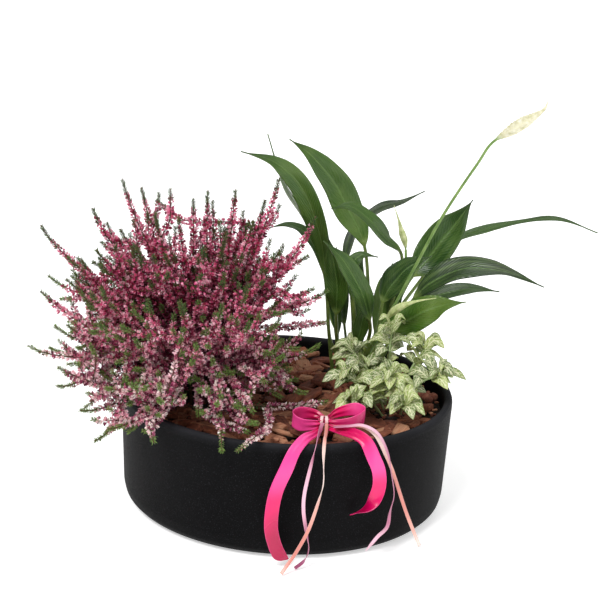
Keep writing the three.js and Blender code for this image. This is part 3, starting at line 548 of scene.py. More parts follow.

# for each tail its route, the way its face looks at the end, where the turn to it starts, the highlights
# and shade painted along it, and how far its middle stands proud
TAILS = {
    "left": ([(30, -114, 108.6), (25, -130, 110), (17, -145, 110.5), (9, -155, 103), (3, -160, 89),
              (-4, -162, 71), (-7, -163, 53), (-7, -163, 36), (-3, -161, 20), (2, -159, 9), (4, -158, 4.6)],
             (0.1, -1, 0.5), 0.7, (0.3, 0.7, 1, 1, 0.7, 0.4, 0.2, 0.1, 0.1), 0.9),
    "right": ([(37, -114, 108.6), (48, -122, 110), (59, -131, 111.5), (68, -138, 108), (75, -143, 96),
               (80, -143, 84), (81, -142, 70), (77, -142, 57), (69, -142, 48), (58, -143, 43)],
              (-0.3, 0.3, 1), 0.58, (0.4, 0.3, 0.45, 0.8, 1, 0.6, 0.35, 0.1, 0.1), -0.9),
}
TAIL_WIDTHS = (5, 9, *[RIBBON_WIDTH] * 4)
LOOP_WIDTHS = (4.6, 9, 12, 13, 12, 9, 4.6)
# the highlights and shade painted along each loop of the bow
LOOP_PAINTED_SHEEN = (0.3, 0.5, 0.9, 0.85, 0.9, 0.8, 0.35)


def gathered(widths, share, across, folds, most=1.6):
    """Pleats where the ribbon is squeezed: the narrower it is, the higher they stand."""
    squeeze = 1 - np.minimum(1, spaced(widths, share) / RIBBON_WIDTH)
    return most * squeeze * np.cos(pi * folds * across)


def make_tail(name, points, end, turn_from, tones, proud):
    route = Curve(points)
    share = np.linspace(0, 1, TAIL_ROWS)
    forward, down = np.minimum(1, share * 3), np.minimum(1, share * 3.2)
    over_rim = unit(np.stack([0 * share + 0.1, -0.25 - forward, 1 - down], 1))
    curl = np.clip((share - turn_from) / (0.97 - turn_from), 0, 1)[:, None] ** 1.3
    centres, side, face, _ = route.frames(share, over_rim * (1 - curl) + vec(*end) * curl)
    width = spaced(TAIL_WIDTHS, share)
    cut = width * np.clip((share - 0.86) / 0.14, 0, 1) ** 1.5 * 0.93
    centres = centres + side * (np.sign(side[-1] @ vec(1, 0, -1)) * cut / 2)[:, None]

    def pleat(s, a):
        cup = proud * (1 - a**2) * np.sin(pi * s)
        return gathered(TAIL_WIDTHS, s, a, 2.5) + cup + 0.35 * np.sin(11 * s + 2 * a)

    shape = Shape()
    ribbon(shape, centres, side, face, width - cut, RIBBON_CLOTH, RIBBON_COLUMNS, pleat, tones)
    piece = shape.make(f"tail_{name}", [PINK], f"ribbon_tail_{name}")
    round(route.length() * MM, 3)


def loop_route(reach, shade_depth, rise):
    """One loop of the bow, out and back. It leans: its far side stands higher."""
    path = vec((0, 0, 0), (0.3, 0.5, 0.35), (0.75, 0.5, 0.9), (1, 0, 1), (0.75, -0.5, 0.75), (0.3, -0.4, 0.2),
               (0, 0, 0)) * (reach, shade_depth, rise)
    path[[0, -1], 1] = 1.2, -1.2
    path[:, 2] += 0.4 * path[:, 1]
    return Curve(BOW_KNOT + path)


def make_bow():
    def pleat(s, a):
        crumple = 0.5 * np.exp(-((np.minimum(s, 1 - s) / 0.16) ** 2)) * np.cos(7 * a)
        return gathered(LOOP_WIDTHS, s, a, 2.0, 1.8) + crumple + 0.3 * np.sin(8 * s + 2 * a)

    shape = Shape()
    share = np.linspace(0, 1, LOOP_ROWS)
    loops = [loop_route(-27, 13, 1), loop_route(34, 14, 7)]
    for route in loops:
        centres, _, _, along = route.frames(share, UP)
        face = unit(np.stack([along[:, 1], -along[:, 0], 0 * share], 1))
        # wrong=1 gives the inside of each loop its painted shade
        ribbon(shape, centres, UP[None], face, spaced(LOOP_WIDTHS, share), RIBBON_CLOTH, RIBBON_COLUMNS,
               pleat, LOOP_PAINTED_SHEEN, wrong=1)
    # the waist, where both loops are bunched under the tie
    place = np.linspace(-5, 5, 16)
    girth, folds = 2.7 + 0.09 * np.abs(place), 1 + 0.12 * np.cos(6 * circle(20))
    tube(shape, BOW_KNOT + np.outer(place, vec(1, 0, 0)), vec(0, 1, 0)[None], UP[None],
         np.outer(girth, folds), 20)
    piece = shape.make("bow", [PINK], "ribbon_bow")
    length = sum(route.length() for route in loops)


def make_knot():
    """Two turns of the thin ribbon round the bow's waist, side by side."""
    shape = Shape()
    side, turn = vec(1, 0, 0), np.linspace(0, 2 * pi, 49)
    out = np.stack([0 * turn, np.sin(turn), np.cos(turn)], 1)
    for shift, lean in ((-1.9, 0.12), (1.7, -0.1)):
        centres = BOW_KNOT + out * KNOT_RADIUS + np.outer(shift + np.sin(turn) * lean * KNOT_RADIUS, side)
        ribbon(shape, centres, side[None], out, KNOT_WIDTH, STRAND_CLOTH, STRAND_COLUMNS,
               lambda s, a: 0.2 * (1 - a**2) + 0 * s, (0.5, 0.5))
    shape.make("knot", [PALE], "ribbon_knot")


for tail, facts in TAILS.items():
    make_tail(tail, *facts)
make_bow()
make_knot()

# ---- bowl, soil, bark and pellets ----

POT_RADIUS, POT_HEIGHT, POT_WALL, POT_FOOT, POT_FLOOR = 150, 106, 8, 130, 8
CLEARANCE, SOIL_TOP = 0.3, 88
BARK_TOP, ROOT_TOP, ROOT_DEPTH = SOIL_TOP + CLEARANCE + 4.5, SOIL_TOP + 7, 12
HEAP_X, HEAP_Y, HEAP_RADIUS, HEAP_HEIGHT = 30, -104, 26, 10
CROWNS = {"heather": (-82, -10, 33), "lily": (62, 78, 26), "fittonia": (92, -28, 17)}
ROOT_SPACING = {"heather": 5.9, "lily": 4.9, "fittonia": 5}
PELLET_PLACE, PELLET_SPOTS = (127, 8), ((0, 0), (7, 1), (1, 7), (-6, 3), (2, -7))
# for the chips and the crumbs: how many, how far out, and the ranges of length, width and thickness
CHIPS, CHIP_REACH, CHIP_SIZES = 230, 133, ((19, 39), (11, 21), (3, 6))
CRUMBS, CRUMB_REACH, CRUMB_SIZES = 600, 137, ((3, 9), (2, 5), (1, 2.4))
CROWN_MARGIN, PELLET_ROOM, WALL_ROOM = 9, 13, 0.8
# chips this far out lie along the wall, and a little farther they are shorter
ALONG_WALL_FROM, SHORT_FROM = 118, 120


def inner_radius(z):
    return POT_RADIUS - POT_WALL - 3.5 * (1 - (z - 18) / (POT_HEIGHT - 22))


def rounded(profile):
    """The profile with each corner turned into a small arc."""
    p = vec(*profile)
    out = [p[0]]
    for before, corner, after in zip(p, p[1:], p[2:]):
        before, after = before - corner, after - corner
        cut = min(2.2, 0.45 * np.linalg.norm(before), 0.45 * np.linalg.norm(after))
        a, b = corner + unit(before) * cut, corner + unit(after) * cut
        out += [(1 - t) ** 2 * a + 2 * t * (1 - t) * corner + t**2 * b for t in np.linspace(0, 1, 6)]
    return np.array([*out, p[-1]])


def lathed(radii, heights, around):
    """Rings of points round the z axis."""
    turn = circle(around)
    return np.stack([np.outer(radii, np.cos(turn)), np.outer(radii, np.sin(turn)),
                     np.outer(heights, np.ones(around))], -1)


def make_bowl():
    lip, around = POT_HEIGHT, 160
    profile = rounded([
        (1, 0), (POT_FOOT, 0), (138.8, 2.4), (144.2, 8), (146.2, 16.5), (148.1, 60), (POT_RADIUS, lip - 4),
        (POT_RADIUS - 1.5, lip - 0.8), (POT_RADIUS - 4, lip), (POT_RADIUS - 6.5, lip - 0.8),
        (POT_RADIUS - POT_WALL, lip - 4), (inner_radius(18), 18), (POT_FOOT, POT_FLOOR + 1), (1, POT_FLOOR)])
    rows = len(profile)
    shape = Shape()
    shape.add(lathed(*profile.T, around), flipped(rings(rows, around)) + ends(rows, around))
    shape.make("bowl", [pot_look()], "pot")


def heap_height(x, y):
    """How far the bark rises under the bow."""
    away = hypot(x - HEAP_X, y - HEAP_Y) / HEAP_RADIUS
    return HEAP_HEIGHT * (1 - away * away) if away < 1 else 0.0


def in_crown(x, y, margin=0):
    return any(hypot(x - cx, y - cy) < r - margin for cx, cy, r in CROWNS.values())


def turn_about(axis, angle):
    """The matrix of a turn about x, y or z, which are 0, 1 and 2."""
    a, b = (axis + 1) % 3, (axis + 2) % 3
    matrix = np.eye(3)
    matrix[a, a] = matrix[b, b] = cos(angle)
    matrix[b, a] = sin(angle)
    matrix[a, b] = -matrix[b, a]
    return matrix


def bark_chip(draw, length, width, thickness):
    """A split flake: an uneven outline, worn edges, and a top and bottom that aren't quite flat."""
    corners = int(draw.integers(6, 9))
    turn = np.sort((np.arange(corners) + draw.uniform(-0.3, 0.3, corners)) * 2 * pi / corners)
    reach = draw.uniform(0.72, 1.0, corners)
    outline = np.stack([np.sign(wave) * np.abs(wave) ** 0.6 for wave in (np.cos(turn), np.sin(turn))], 1)
    outline = outline * reach[:, None] * vec(length, width) / 2
    levels = []
    for level, shrink in ((-0.5, 0.86), (-0.2, 1.0), (0.22, 0.98), (0.5, 0.8)):
        z = thickness * (level + draw.uniform(-0.1, 0.1, corners))
        levels.append(np.column_stack([outline * shrink * draw.uniform(0.93, 1.05, (corners, 1)), z]))
    points = np.vstack(levels)
    points[:, 2] += 0.0016 * draw.uniform(-1, 2.5) * points[:, 0] ** 2
    return points, rings(4, corners) + ends(4, corners)


def add_chip(shape, chip, placed, draw):
    points, faces = chip
    shape.add(placed, faces, across=points[:, 1], along=points[:, 0], tone=draw.uniform(0, 1))


def make_bark():
    draw = np.random.default_rng(11)
    shape = Shape()
    for order in range(CHIPS):
        radius, angle = CHIP_REACH * sqrt((order + 0.5) / CHIPS), order * GOLDEN + 0.4
        x, y = radius * cos(angle), radius * sin(angle)
        near_pellets = hypot(x - PELLET_PLACE[0], y - PELLET_PLACE[1]) < PELLET_ROOM
        if in_crown(x, y, CROWN_MARGIN) or near_pellets:
            continue
        length, width, thickness = (draw.uniform(*sizes) for sizes in CHIP_SIZES)
        chip = bark_chip(draw, length * (0.8 if radius > SHORT_FROM else 1), width, thickness)
        layer = draw.uniform(0, 1)
        tilt = draw.uniform(-0.34, 0.34, 2) * (0.4 + layer)
        along_wall = radius > ALONG_WALL_FROM
        turn = angle + pi / 2 + draw.uniform(-0.3, 0.3) if along_wall else draw.uniform(0, pi)
        z = BARK_TOP - 2.6 + 5.4 * layer + heap_height(x, y)
        turned = turn_about(2, turn) @ (turn_about(1, tilt[1]) @ turn_about(0, tilt[0]))
        placed = chip[0] @ turned.T + vec(x, y, z)
        away = np.hypot(placed[:, 0], placed[:, 1])
        placed[:, :2] *= np.minimum(1, (inner_radius(z) - WALL_ROOM) / away)[:, None]
        placed[:, 2] = np.maximum(placed[:, 2], SOIL_TOP + 0.2)
        add_chip(shape, chip, placed, draw)
    # crumbs and bark dust between the chips
    places = [(0, 0, CRUMB_REACH)] * 9 + list(CROWNS.values())
    for order in range(CRUMBS):
        cx, cy, most = places[order % len(places)]
        radius, angle = most * sqrt(draw.uniform()), draw.uniform(0, 2 * pi)
        x, y = cx + radius * cos(angle), cy + radius * sin(angle)
        chip = bark_chip(draw, *(draw.uniform(*sizes) for sizes in CRUMB_SIZES))
        turned = turn_about(2, draw.uniform(0, pi))
        base = ROOT_TOP - 1 if in_crown(x, y) else BARK_TOP
        z = base + draw.uniform(0, 2.5) + heap_height(x, y)
        add_chip(shape, chip, chip[0] @ turned.T + vec(x, y, z), draw)
    shape.make("bark_chips", [bark_look()], "bark_mulch", smooth=False)


def make_pellets():
    draw = np.random.default_rng(5)
    shape = Shape()
    around, polar = 20, np.linspace(0, pi, 13)[1:-1]
    rows = len(polar)
    ball = np.vstack([lathed(np.sin(polar), np.cos(polar), around).reshape(-1, 3), UP, -UP])
    top, bottom, last = len(ball) - 2, len(ball) - 1, (rows - 1) * around
    faces = flipped(rings(rows, around))
    for k in range(around):
        follow = (k + 1) % around
        faces += [(top, k, follow), (bottom, last + follow, last + k)]
    for order, (x, y) in enumerate(PELLET_SPOTS):
        radius = 4 + 0.3 * sin(order * 2.1)
        waves = sum(np.sin(ball @ draw.normal(0, 3.2, 3) + draw.uniform(0, 6)) for _ in range(5))
        lumpy = ball * (radius * (0.95 + 0.02 * waves))[:, None]
        centre = vec(PELLET_PLACE[0] + x, PELLET_PLACE[1] + y, BARK_TOP + CLEARANCE + radius)
        shape.add(lumpy + centre, faces, tone=draw.uniform(0, 1))
    shape.make("pellets", [pellet_look()], "clay_pellets")


make_bowl()
make_bark()
make_pellets()
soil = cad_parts["soil"]
soil.data.materials.clear()
soil.data.materials.append(soil_look())

# ---- roots, as in the CAD ----


def take_roots(plant, wishes):
    """The place on the root ball that each stem gets: places are swapped while that helps."""
    cx, cy, _ = CROWNS[plant]
    places = []
    for order in range(len(wishes)):
        radius, angle = ROOT_SPACING[plant] * sqrt(order + 0.5), order * GOLDEN
        places.append(vec(cx + radius * cos(angle), cy + radius * sin(angle)))

    def miss(place, wish):
        return float(((place - wish[:2]) ** 2).sum())

    for _ in wishes:
        for a in range(len(wishes)):
            for b in range(a):
                kept = miss(places[a], wishes[a]) + miss(places[b], wishes[b])
                swapped = miss(places[b], wishes[a]) + miss(places[a], wishes[b])
                if swapped < kept:
                    places[a], places[b] = places[b], places[a]
    return [vec(x, y, ROOT_TOP) for x, y in places]


# ---- peace lily ----

# for each leaf its path above the root, half its width and the way its face looks
LILY_LEAVES = {
    "left_arch": ([(36, 84, 135), (32, 82, 173), (24, 70, 224), (5, 40, 278), (-19, 20, 306), (-50, 0, 319)],
                  11, (-0.2, -0.8, 0.5)),
    "left_back": ([(43, 96, 130), (31, 110, 185), (12, 115, 227), (-13, 110, 267), (-30, 105, 315)],
                  9, (-0.9, -0.3, 0.3)),
    "top_left": ([(72, 88, 140), (70, 95, 191), (63, 100, 223), (50, 100, 247), (36, 95, 273), (12, 80, 302),
                  (-9, 70, 318)], 16, (0.3, -1, 0.35)),
    "mid_arch": ([(91, 88, 146), (102, 91, 203), (86, 75, 228), (70, 60, 248), (50, 50, 263), (32, 45, 261)],
                 9, (0, -0.7, 0.7)),
    "back_curl": ([(60, 104, 130), (55, 122, 173), (50, 127, 197), (58, 135, 223), (80, 140, 241),
                   (102, 140, 249), (122, 135, 261)], 9, (0.4, -0.6, -0.5)),
    "right_tall": ([(93, 98, 135), (110, 113, 174), (126, 118, 196), (140, 118, 218), (154, 115, 239),
                    (166, 108, 261)], 19, (-0.2, -0.9, 0.35)),
    "right_long": ([(92, 114, 130), (122, 133, 170), (150, 142, 208), (184, 137, 227), (219, 125, 239),
                    (250, 110, 246), (284, 95, 238)], 8, (0.1, -0.5, 0.9)),
    "right_broad": ([(92, 62, 138), (108, 47, 172), (125, 38, 198), (152, 32, 215), (187, 22, 218),
                     (226, 12, 206)], 15, (0, -0.55, 0.9)),
    "right_under": ([(96, 80, 130), (114, 86, 158), (138, 89, 172), (167, 84, 181), (194, 74, 182)],
                    9, (0, -0.6, 0.8)),
    "front_right": ([(83, 53, 133), (94, 46, 147), (111, 36, 164), (132, 26, 179), (157, 14, 188)],
                    16, (0.2, -0.9, 0.6)),
    "front_left": ([(73, 52, 136), (72, 38, 161), (63, 25, 191), (46, 15, 220), (26, 8, 240)],
                   11, (0.4, -0.9, 0.35)),
    "left_broad": ([(44, 74, 128), (42, 66, 157), (41, 58, 183), (36, 52, 211), (30, 44, 236)],
                   12, (-0.2, -1, 0.2)),
    "mid_broad": ([(82, 80, 136), (86, 79, 167), (95, 77, 187), (109, 75, 203), (128, 71, 214)],
                  14, (-0.2, -0.8, 0.6)),
    "mid_small": ([(61, 68, 134), (57, 61, 171), (53, 62, 200), (62, 66, 213), (78, 66, 212)],
                  7, (0.3, -0.5, 0.8)),
    "left_low": ([(38, 102, 120), (33, 122, 162), (22, 130, 200), (8, 132, 217), (-8, 130, 223),
                  (-26, 124, 220)], 6, (-0.3, -0.5, 0.8)),
}
# young narrow leaves that stand close beside a grown one, at its foot
YOUNG_LEAVES = {
    "left_broad": ([(44, 82, 140), (37, 88, 180), (30, 92, 212)], 7, (-0.3, -0.9, 0.3)),
    "left_low": ([(42, 108, 135), (38, 117, 165), (32, 121, 188)], 7, (-0.5, -0.8, 0.3)),
    "mid_small": ([(63, 62, 130), (68, 57, 158), (75, 52, 181)], 8, (0.2, -1, 0.3)),
    "mid_broad": ([(88, 86, 135), (97, 92, 165), (106, 96, 188)], 9, (-0.1, -0.9, 0.5)),
    "top_left": ([(64, 98, 145), (62, 106, 178), (66, 110, 200)], 8, (0.3, -1, 0.2)),
    "back_curl": ([(50, 115, 140), (45, 120, 175), (40, 122, 205)], 8, (-0.2, -0.9, 0.2)),
    "mid_arch": ([(82, 95, 140), (86, 101, 172), (94, 106, 196)], 8, (0.2, -0.9, 0.3)),
    "right_under": ([(104, 92, 135), (118, 99, 155), (134, 104, 168)], 8, (0.1, -0.8, 0.6)),
}
# for each bloom its path, its greatest radius, where the spathe starts and how fresh it is
LILY_BLOOMS = {
    "tall": ([(84, 70, 137), (98, 66, 170), (112, 60, 205), (130, 48, 251), (143, 36, 281), (159, 20, 315),
              (169, 12, 335), (187, 5, 350), (201, 0, 361), (210, -4, 370), (212, -5, 378)], 5.5, 0.655, 0.0),
    "small": ([(92, 108, 132), (106, 125, 176), (107, 128, 205), (101, 128, 226), (93, 124, 248)],
              3.4, 0.6, 1.0),
    "low": ([(76, 60, 132), (83, 46, 150), (94, 33, 170), (110, 22, 183), (130, 12, 191)], 3.7, 0.5, 1.0),
}
PETIOLE, BLADE_FROM, YOUNG_BLADE_FROM, YOUNG_STEM = 1.8, 0.38, 0.25, 0.8
LEAF_COLUMNS, BLOOM_AROUND, LILY_ROOT_REACH = 15, 36, 20


def lily_roots():
    crown = vec(*CROWNS["lily"][:2])
    wishes = []
    for path, *_ in [*LILY_LEAVES.values(), *LILY_BLOOMS.values()]:
        reach = vec(*path[0][:2]) - crown
        wishes.append(crown + reach * min(1, LILY_ROOT_REACH / np.linalg.norm(reach)))
    return take_roots("lily", wishes)


LILY_ROOTS = lily_roots()


def blade_width(share, blade_from=BLADE_FROM):
    inside = np.clip((share - blade_from) / (1 - blade_from), 0, 1)
    drawn_out = np.clip((1 - inside) / 0.32, 0, 1) ** 0.55
    return np.sin(pi * inside**0.8) ** 0.85 * (1 - 0.2 * inside) * drawn_out


def add_leaf(shape, root, path, half, hint, draw, waviness=1.0, blade_from=BLADE_FROM, thick_stem=1.0):
    """A round stalk that flattens into a blade, keeled and quilted, with wavy edges."""
    share = np.r_[np.linspace(0, blade_from, 22), np.linspace(blade_from, 1, 55)[1:]]
    centre, side, face, share = Curve([root, *path]).footed(share, vec(*hint), root - ROOT_DEPTH * UP)
    stem = PETIOLE * thick_stem * (1 - 0.4 * share) * np.clip((1 - share) / 0.12, 0.55, 1)
    grown = half * blade_width(share, blade_from)
    wide = np.maximum(stem * 0.92, grown)
    across = np.linspace(-1, 1, LEAF_COLUMNS)
    out = np.abs(across)
    blade, s, grown, stem = (v[:, None] for v in (np.clip((wide - stem) / 4, 0, 1), share, grown, stem))
    thick = 2 * stem * (1 - blade) + 0.5 * blade
    thick = thick * (np.sqrt(np.maximum(0, 1 - (0.86 * across) ** 2)) * (1 - blade) + blade)
    rib = 0.9 * np.exp(-((across / 0.09) ** 2)) * blade * (1 - 0.8 * s)
    keel = 0.2 * grown * (out**1.3 - 1) * blade
    arch = 0.06 * grown * np.sin(pi * out)
    phase = draw.uniform(0, 6, 2)
    waves = np.sin(s * 19 + phase[0] + np.sign(across) * 1.1) * np.minimum(1, 4 * (1 - s))
    edge = 0.08 * waviness * half * waves * out**2.5 * blade
    quilt = 0.1 * np.sin(s * 120 - 7 * out) * (1 - out)
    quilt = quilt + 0.035 * half * np.sin(s * 27 + 2 * across + phase[1])
    lift = keel + arch + edge + quilt * blade
    flat = centre[:, None] + (wide[:, None] * across)[..., None] * side[:, None]
    over = flat + face[:, None] * (lift + thick / 2)[..., None]
    under = flat + face[:, None] * (lift - thick / 2 - rib)[..., None]
    stalk = np.clip((blade_from + 0.06 - share) / 0.05, 0, 1)
    band(shape, over, under, across, turned_over=True, along=share, tone=draw.uniform(0, 1), kind=stalk)


def make_bloom(name, root, path, club, foot, fresh, look, draw):
    """A stalk that ends in a spathe, rolled round its knobbly spadix, with a drawn-out tip."""
    share = np.r_[np.linspace(0, foot, 44), np.linspace(foot, 1, 92)[1:]]
    centre, side, face, share = Curve([root, *path]).footed(share, vec(0.3, -1, 0.2), root - ROOT_DEPTH * UP)
    grown = (share - foot) / (1 - foot)
    stalk = np.interp(share, [0, 0.3, 0.45, 0.72, 0.8], [1.5, 1.4, 1.3, 1.2, 1.25])
    swell = np.interp(grown, [-0.04, 0, 0.08, 0.2, 0.36, 0.5, 0.66, 0.82, 1.0],
                      [0, 0.22, 0.55, 0.92, 0.88, 0.55, 0.3, 0.16, 0.05])
    radii = np.maximum(np.where(grown < 0, stalk, 0.35), club * swell)[:, None]
    kind, grown, row = np.clip(grown / 0.08, 0, 1), grown[:, None], np.arange(len(share))[:, None]
    turn = circle(BLOOM_AROUND)
    folds = 0.08 * np.cos(3 * turn + 5 * grown) + 0.04 * np.cos(9 * turn - 14 * grown)
    bare = np.clip(np.cos(turn - 3.6) * 1.6, 0, 1) * np.clip((0.66 - grown) / 0.1, 0, 1)
    knobs = 0.221 * bare * np.cos(9 * turn + (row // 4 % 2) * pi) * np.sin(row * pi / 4)
    noise = 0.03 * draw.uniform(-1, 1, (len(share), BLOOM_AROUND))
    radii = radii * (1 + np.clip(grown / 0.06, 0, 1) * (folds + noise + knobs))
    shape = Shape()
    tube(shape, centre, side, face, radii, BLOOM_AROUND, kind=kind, along=share, tone=fresh)
    shape.make(f"bloom_{name}", [look], f"lily_bloom_{name}")


def make_lily():
    draw = np.random.default_rng(7)
    look, bloom = lily_look(), bloom_look()
    for (name, (path, half, hint)), root in zip(LILY_LEAVES.items(), LILY_ROOTS):
        shape = Shape()
        narrow = name == "right_long"
        add_leaf(shape, root, path, half * (0.62 if narrow else 1), hint, draw, 5.0 if narrow else 1.0)
        if name in YOUNG_LEAVES:
            path, half, hint = YOUNG_LEAVES[name]
            beside = root + 2.2 * unit((vec(*path[0]) - root) * (1, 1, 0))
            add_leaf(shape, beside, path, half, hint, draw, 1.0, YOUNG_BLADE_FROM, YOUNG_STEM)
        shape.make(f"leaf_{name}", [look], f"lily_leaf_{name}")
    for (name, (path, *facts)), root in zip(LILY_BLOOMS.items(), LILY_ROOTS[len(LILY_LEAVES):]):
        make_bloom(name, root, path, *facts, bloom, draw)


make_lily()

# ---- nerve plant ----

# for each stem its top and the turn of its lowest pair of leaves
FITTONIA_STEMS = [
    ((56, 0, 142), 0.5), ((92, 14, 160), 1.2), ((124, 6, 147), 0.5), ((136, -32, 134), 1.0),
    ((52, -34, 128), 0.9), ((56, -66, 116), 0.4), ((102, -73, 117), 1.0), ((90, -40, 132), 0.8),
]
# the pairs of the CAD and those between them: place on the stem, size and lift
FITTONIA_PAIRS = ((0.5, 0.9, 0.12), (0.76, 1, 0.24), (0.96, 0.72, 0.34))
FITTONIA_MORE_PAIRS = ((0.38, 0.8, 0.1), (0.64, 1.05, 0.3), (0.9, 0.95, 0.6), (1.0, 0.6, 0.95))
# leaves that stand outwards: place on the stem and swing to one side
FITTONIA_OUTER = ((0.8, -0.8), (0.86, 0.7), (0.99, 0.1))
FITTONIA_LENGTH, FITTONIA_HALF, FITTONIA_ROWS, FITTONIA_COLUMNS = 20, 5.6, 15, 11


def nerve_leaf(shape, start, away, lift, length, half, draw):
    """An ovate leaf with sunken veins; its blade bows up and its tip turns down."""
    flat = vec(cos(away), sin(away), 0)
    start = start + 0.5 * flat
    curve = Curve([start, start + flat * 0.5 * length + UP * lift * length,
                   start + flat * length + UP * (lift - 0.3) * length])
    share = np.linspace(0, 1, FITTONIA_ROWS)
    centre, side, face, _ = curve.frames(share, vec(draw.uniform(-0.6, 0.6), draw.uniform(-0.9, 0.1), 0.8))
    width = half * np.maximum(0.07, np.sin(pi * share**0.86) ** 0.8 * (1.05 - 0.1 * share))
    width[-1] = 0.1
    across = np.linspace(-1, 1, FITTONIA_COLUMNS)
    out, s, wide = np.abs(across), share[:, None], width[:, None]
    puff = 0.35 * np.sin(10.4 * pi * s - 9 * out) * (1 - out)
    wave = 0.3 * np.sin(9 * s + draw.uniform(0, 6) + 2 * np.sign(across)) * across**2
    rise = 0.14 * wide * out + (puff + wave) * np.minimum(1, wide / 3)
    middle = centre[:, None] + (wide * across)[..., None] * side[:, None] + face[:, None] * rise[..., None]
    skin = face[:, None] * 0.22
    band(shape, middle + skin, middle - skin, across, turned_over=True, along=share, tone=draw.uniform(0, 1))


def make_fittonia():
    look = fittonia_look()
    crown = vec(*CROWNS["fittonia"][:2])
    wishes = [0.4 * vec(*top)[:2] + 0.6 * crown for top, _ in FITTONIA_STEMS]
    roots = take_roots("fittonia", wishes)
    random = mulberry(37)
    for order, ((top, turn), root) in enumerate(zip(FITTONIA_STEMS, roots)):
        draw = np.random.default_rng(300 + order)
        top = vec(*top)
        curve = Curve([root, root + 0.45 * (top - root) + UP * 9, top])
        shape = Shape()

        def leaf(place, away, lift, size, breadth):
            length, half = FITTONIA_LENGTH * size, FITTONIA_HALF * breadth
            nerve_leaf(shape, curve.at(place), away, lift, length, half, draw)

        rows = curve.footed(np.linspace(0, 1, 20), vec(0.2, 1, 0.1), root - ROOT_DEPTH * UP)
        tube(shape, *rows[:3], 1.1 * (1.1 - 0.3 * rows[3]), 8, kind=1.0)
        for pair, (place, size, lift) in enumerate(FITTONIA_PAIRS):
            for opposite in (0, pi):
                away = turn + pair * pi / 2 + opposite + 0.5 * (next(random) - 0.5)
                leaf(place, away, lift + 0.1 * next(random), size, size)
        for place, size, lift in FITTONIA_MORE_PAIRS:
            quarter = draw.uniform(0, pi)
            for opposite in (0, pi):
                leaf(place, quarter + opposite, lift, size, size)
        outward = atan2(top[1] - crown[1], top[0] - crown[0])
        for place, swing in FITTONIA_OUTER:
            leaf(place, outward + swing, 0.12, 1.1, 1)
        shape.make(f"sprig_{order + 1}", [look], f"fittonia_sprig_{order + 1}")


make_fittonia()

# ---- heather ----

HEATHER_TIPS = [
    [(-227, -55, 150), (-214, -22, 138), (-198, -78, 122)],
    [(-205, -50, 168), (-224, -5, 185), (-188, -90, 182)],
    [(-226, 5, 243), (-224, 38, 187), (-198, -28, 204)],
    [(-181, -62, 203), (-168, -96, 213), (-188, -12, 219)],
    [(-180, 5, 261), (-169, -50, 238), (-172, 45, 238)],
    [(-154, 5, 289), (-140, 35, 275), (-152, -22, 250)],
    [(-121, -32, 269), (-134, -68, 249)],
    [(-102, -15, 262), (-92, 22, 270)],
    [(-78, 0, 283), (-76, -68, 247), (-60, -38, 250)],
    [(-54, 10, 283), (-36, -18, 262), (-60, 46, 242)],
    [(-16, 20, 293), (-28, 30, 270), (-12, -30, 240)],
    [(18, 10, 262), (32, -20, 203)],
    [(-127, -125, 184), (-158, -117, 193), (-118, -115, 216)],
    [(-75, -140, 186), (-56, -112, 214), (-91, -122, 217)],
    [(-33, -120, 201), (-10, -88, 192), (-36, -82, 223)],
    [(-175, -99, 109), (-161, -110, 86), (-193, -108, 150)],
    [(-116, -148, 112), (-148, -125, 103), (-104, -152, 142), (-128, -146, 152)],
    [(-50, -160, 103), (-56, -148, 140), (-22, -154, 126)],
    [(27, -34, 157), (17, -78, 127), (-8, -62, 165)],
    [(-195, 75, 170), (-160, 100, 195), (-208, 52, 140)],
    [(-120, 118, 200), (-88, 125, 185), (-132, 82, 238)],
    [(-52, 118, 182), (-18, 90, 205), (-62, 84, 232)],
]
# sprays that trail over the bark and the rim at the front, by the number of the spray they join
TRAILING = {
    17: ([(-50, -45, 99), (-24, -62, 106), (-14, -90, 108), (-15, -125, 110), (-21, -148, 114),
          (-38, -169, 106)],
         [(-88, -58, 104), (-68, -104, 112), (-48, -122, 111), (-29, -133, 109)]),
    18: ([(-52, -38, 99), (-21, -64, 108), (3, -57, 106), (20, -46, 105), (36, -35, 104)],),
    16: ([(-96, -56, 104), (-112, -108, 118), (-112, -142, 117), (-106, -160, 107)],),
}
CHAIN, BRANCH_AT, ROUNDS, ROOM = 14, 4, 80, 2.6
STEM_RADIUS, FLOWER_RADIUS = 1.3, 5.0
MAIN_BARE, BRANCH_BARE = 0.42, 0.27
HEATHER_ROOT_REACH, CROWN_SHOOTS = 28, 110
SIDE_SHOOTS, SIDE_END, SIDE_REACHES = 4, 0.72, (16, 34)
FILL_TRIES, FILL_SHOOTS, FILL_LENGTHS = 14, 2, (30, 130)
# the radius of a twig at its foot and its tip, its sides and its rows
ROOT_TWIG, MAIN_TWIG, MAIN_GREEN = (1.35, 1.3, 6, 3), (1.3, 0.45, 6, 26), (11, 24)
# kinds of spike: a twig, its bare share, its green length, the flowers' size and the first leaf scales
SIDE_SPIKE = (0.6, 0.3, 5, 7), 0.1, (4, 10), 0.84, 0.02
FILL_SPIKE = (0.8, 0.4, 5, 12), (0.12, 0.3), (8, 17), 0.92, 0.02
CROWN_SPIKE = (1.0, 0.4, 5, 14), (0.25, 0.4), (8, 16), 0.95, 0.1
TRAIL_SPIKE, TRAIL_FADED = ((1.1, 0.5, 6, 24), 0.3, 8, 0.8, 0.1), 0.5
HEATHER_CROWN = vec(*CROWNS["heather"][:2], ROOT_TOP)
BUSH_MIDDLE, BUSH_HEART = vec(-92, -12, 108), vec(-88, -10, 138)
BUSH_LOW, BUSH_HIGH = vec(-222, -168, 84), vec(40, 126, 292)
TWIG_HINT = unit(vec(0.31, 0.2, 0.93))
FLORETS, NEEDLES = 1, 2
